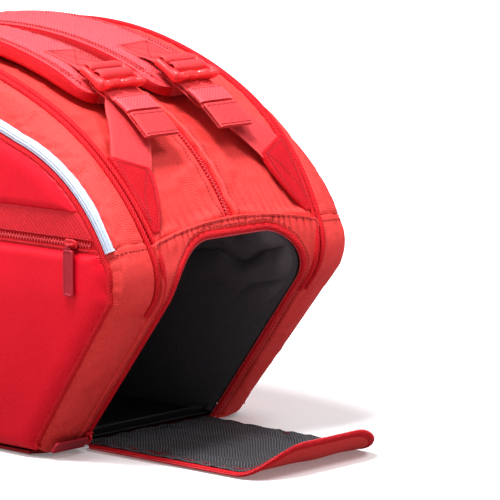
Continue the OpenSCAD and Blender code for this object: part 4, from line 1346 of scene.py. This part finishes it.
def pull_solids():
    """Rubber puller with a raised rim, hanging towards -y from its loop"""
    rows, cols = 61, 25
    t, u = np.linspace(0, 1, rows)[:, None], np.linspace(-1, 1, cols)[None]
    y = -0.0042 - t * (PULL_L - 0.0007)
    corner = 0.0022
    near_end = np.minimum(t, 1 - t) * PULL_L
    half = PULL_W / 2 - corner + np.sqrt(corner ** 2 - np.clip(corner - near_end, 0, corner) ** 2)
    x = half * u
    edge = np.minimum(half - np.abs(x), near_end)
    face = 0.0012 + edge_roll(edge, 0.0008) - 0.0005 * smooth((edge - 0.0014) / 0.0004)
    top = np.stack((x, y + 0 * x, PIN_H + face), -1)
    bottom = np.stack((x, y + 0 * x, PIN_H - face), -1)
    a = np.linspace(0, 2 * math.pi, 25)[:-1]
    loop = np.stack((0 * a, -0.0010 + 0.0020 * np.sin(a), PIN_H + 0.0014 * np.cos(a)), -1)
    angle = np.linspace(0, 2 * math.pi, 10, endpoint=False)[None, :, None]
    out = unit(loop - loop.mean(axis=0))[:, None]
    ring = loop[:, None] + out * np.cos(angle) * 0.0005 + np.array((1.0, 0, 0)) * np.sin(angle) * 0.0016
    neck = np.stack((np.zeros(8), np.linspace(-0.0024, -0.0062, 8), np.full(8, PIN_H)), -1)
    return [slab(top, bottom), tube(ring, closed=True), tube(bar(neck, 0.0024, 0.0010, (1, 0, 0), 12, 0.6))]


def placed(solids, origin, x_dir, y_dir, z_dir):
    axes = np.array((x_dir, y_dir, z_dir), float)
    return joined([(np.array(origin) + v @ axes, f) for v, f in solids])


def zip_hardware(kind, tag, origin, x_dir, y_dir, z_dir, turned):
    """One slider with its puller; turned lays the puller along the zip towards the rear"""
    slider, pull = f"{kind}_slider{tag}", f"{kind}_pull{tag}"
    c, s = (0, -1) if turned else (1, 0)
    px = c * np.array(x_dir, float) + s * np.array(y_dir, float)
    py = -s * np.array(x_dir, float) + c * np.array(y_dir, float)
    body = placed(slider_solids(math.pi / 2 if turned else 0), origin, x_dir, y_dir, z_dir)
    piece(slider, body, METAL)
    piece(pull, placed(pull_solids(), origin, px, py, z_dir), RUBBER)


def place_on_arc(kind, tag, side, lean):
    """A slider that runs round the top of the bag: its pull's hinge says where it is"""
    pin, centre = (np.array(joint(kind + name + tag)["pos_m"]) * np.array((1, side, 1))
                   for name in ("_pull_swing", "_zip_travel"))
    out = pin - centre
    out = unit(out - lean * (out @ lean))
    along = np.cross(lean, out)
    zip_hardware(kind, tag, pin - out * PIN_H, along, lean, out, True)


def all_zip_hardware():
    for tag, side in (("_near", NEAR), ("_far", FAR)):
        low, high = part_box("pocket_slider" + tag)
        origin = ((low.x + high.x) / 2, float(side_y(POCKET_Z)) + 0.0032, POCKET_Z)
        zip_hardware("pocket", tag, origin, (1, 0, 0), (0, 0, 1), (0, 1, 0), False)
        axis = np.array(joint("hidden_zip_travel" + tag)["axis"], float) * np.array((1, side, 1)) * side
        place_on_arc("hidden", tag, side, unit(axis if axis[1] > 0 else -axis))
    place_on_arc("centre", "", FAR, np.array((0, 1.0, 0)))
    up = np.array((math.sin(SLOPE_TURN), 0, math.cos(SLOPE_TURN)))
    origin = np.array(joint("shoe_pull_swing")["pos_m"]) - up * PIN_H
    down = (math.cos(SLOPE_TURN), 0, -math.sin(SLOPE_TURN))
    zip_hardware("shoe", "", origin, down, (0, 1, 0), up, False)


# --- Build everything ---

ON_EACH_SIDE = (centre_panel, hidden_zips, upper_gusset, lower_gussets, white_band, piping, side_panels,
                ribbed_strip, pocket_zip, side_lining, divider, strap_pad, strap_patch, ladder_lock,
                adjuster_webbing, wing)
for tag, side in SIDES.items():
    for build in ON_EACH_SIDE:
        build(tag, side)
for build in (centre_zip, shoe_end_panel, rear_end_panel, shoe_opening_zip, shoe_tunnel, opening_sill, flap,
              base_panel, rear_handle, all_zip_hardware):
    build()
trim.make({"stitches": THREADS, "teeth": TEETH})

board = frame["nodes"]["base_board"].data.materials
board.clear()
board.append(BOARD)

# --- Floor, light and camera ---


def stage_floor():
    bpy.ops.mesh.primitive_plane_add(size=12, location=(0, 0, -0.0005))
    floor = bpy.context.object
    floor.name = "floor"
    sh = Shader("floor")
    # painted light: the floor glows, at 0.15 within 0.45 m of the middle and at full strength from 1.6 m out, so
    # that it reads white
    sh.shade.inputs["Emission Color"].default_value = (1, 1, 1, 1)
    away = sh.add("ShaderNodeVectorMath", sh.add("ShaderNodeTexCoord").outputs["Object"], operation="LENGTH")
    glow = sh.add("ShaderNodeMapRange", away.outputs["Value"], 0.45, 1.6, 0.15, 1.0)
    sh.link(glow.outputs[0], sh.shade.inputs["Emission Strength"])
    seen = sh.add("ShaderNodeLightPath").outputs["Is Camera Ray"]
    # painted shade: rays other than the camera's see the floor as a darker pinkish colour, so less light bounces
    # onto the bag's lower sides; the camera sees it white
    floor_white_bounce_shade = sh.mix(seen, srgb(140, 116, 120), srgb(240, 240, 242))
    floor.data.materials.append(sh.finish(floor_white_bounce_shade, 0.8, specular=0.05))


def area_light(name, place, target, size, power, colour=(1, 1, 1)):
    light = bpy.data.lights.new(name, "AREA")
    light.size, light.energy, light.color = size, power, colour
    obj = bpy.data.objects.new(name, light)
    bpy.context.scene.collection.objects.link(obj)
    obj.location = place
    obj.rotation_euler = (Vector(target) - Vector(place)).to_track_quat("-Z", "Y").to_euler()


def studio():
    world = bpy.data.worlds.new("studio")
    bpy.context.scene.world = world
    world.use_nodes = True
    tree = world.node_tree
    back = tree.nodes["Background"]
    back.inputs["Color"].default_value = (1, 1, 1, 1)
    seen = tree.nodes.new("ShaderNodeLightPath").outputs["Is Camera Ray"]
    strength = tree.nodes.new("ShaderNodeMapRange")
    tree.links.new(seen, strength.inputs[0])
    strength.inputs[3].default_value, strength.inputs[4].default_value = 0.30, 1.0
    tree.links.new(strength.outputs[0], back.inputs["Strength"])
    area_light("key", (0.3, -0.7, 2.2), (0.15, 0, 0.2), 0.6, 52)
    area_light("side", (-1.4, -1.8, 1.5), (0, 0, 0.2), 1.0, 22)
    area_light("front", (1.5, 0.4, 2.3), (0.2, 0, 0.2), 0.9, 26)
    bpy.context.scene.view_settings.view_transform = "Standard"
    bpy.context.scene.view_settings.look = "Medium High Contrast"


def camera():
    """Long lens from beyond the near corner of the shoe end, the bag running out of the frame"""
    azimuth, elevation, distance = math.radians(42), math.radians(8.6), 2.927
    target = Vector((0.300, 0, 0.170))
    back = Vector((math.sin(azimuth) * math.cos(elevation), -math.cos(azimuth) * math.cos(elevation),
                   math.sin(elevation)))
    data = bpy.data.cameras.new("camera")
    data.lens, data.sensor_width, data.clip_end = 259, 36, 50
    obj = bpy.data.objects.new("camera", data)
    bpy.context.scene.collection.objects.link(obj)
    obj.location = target + back * distance
    obj.rotation_euler = (-back).to_track_quat("-Z", "Y").to_euler()
    bpy.context.scene.camera = obj


stage_floor()
studio()
camera()
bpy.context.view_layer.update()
import json
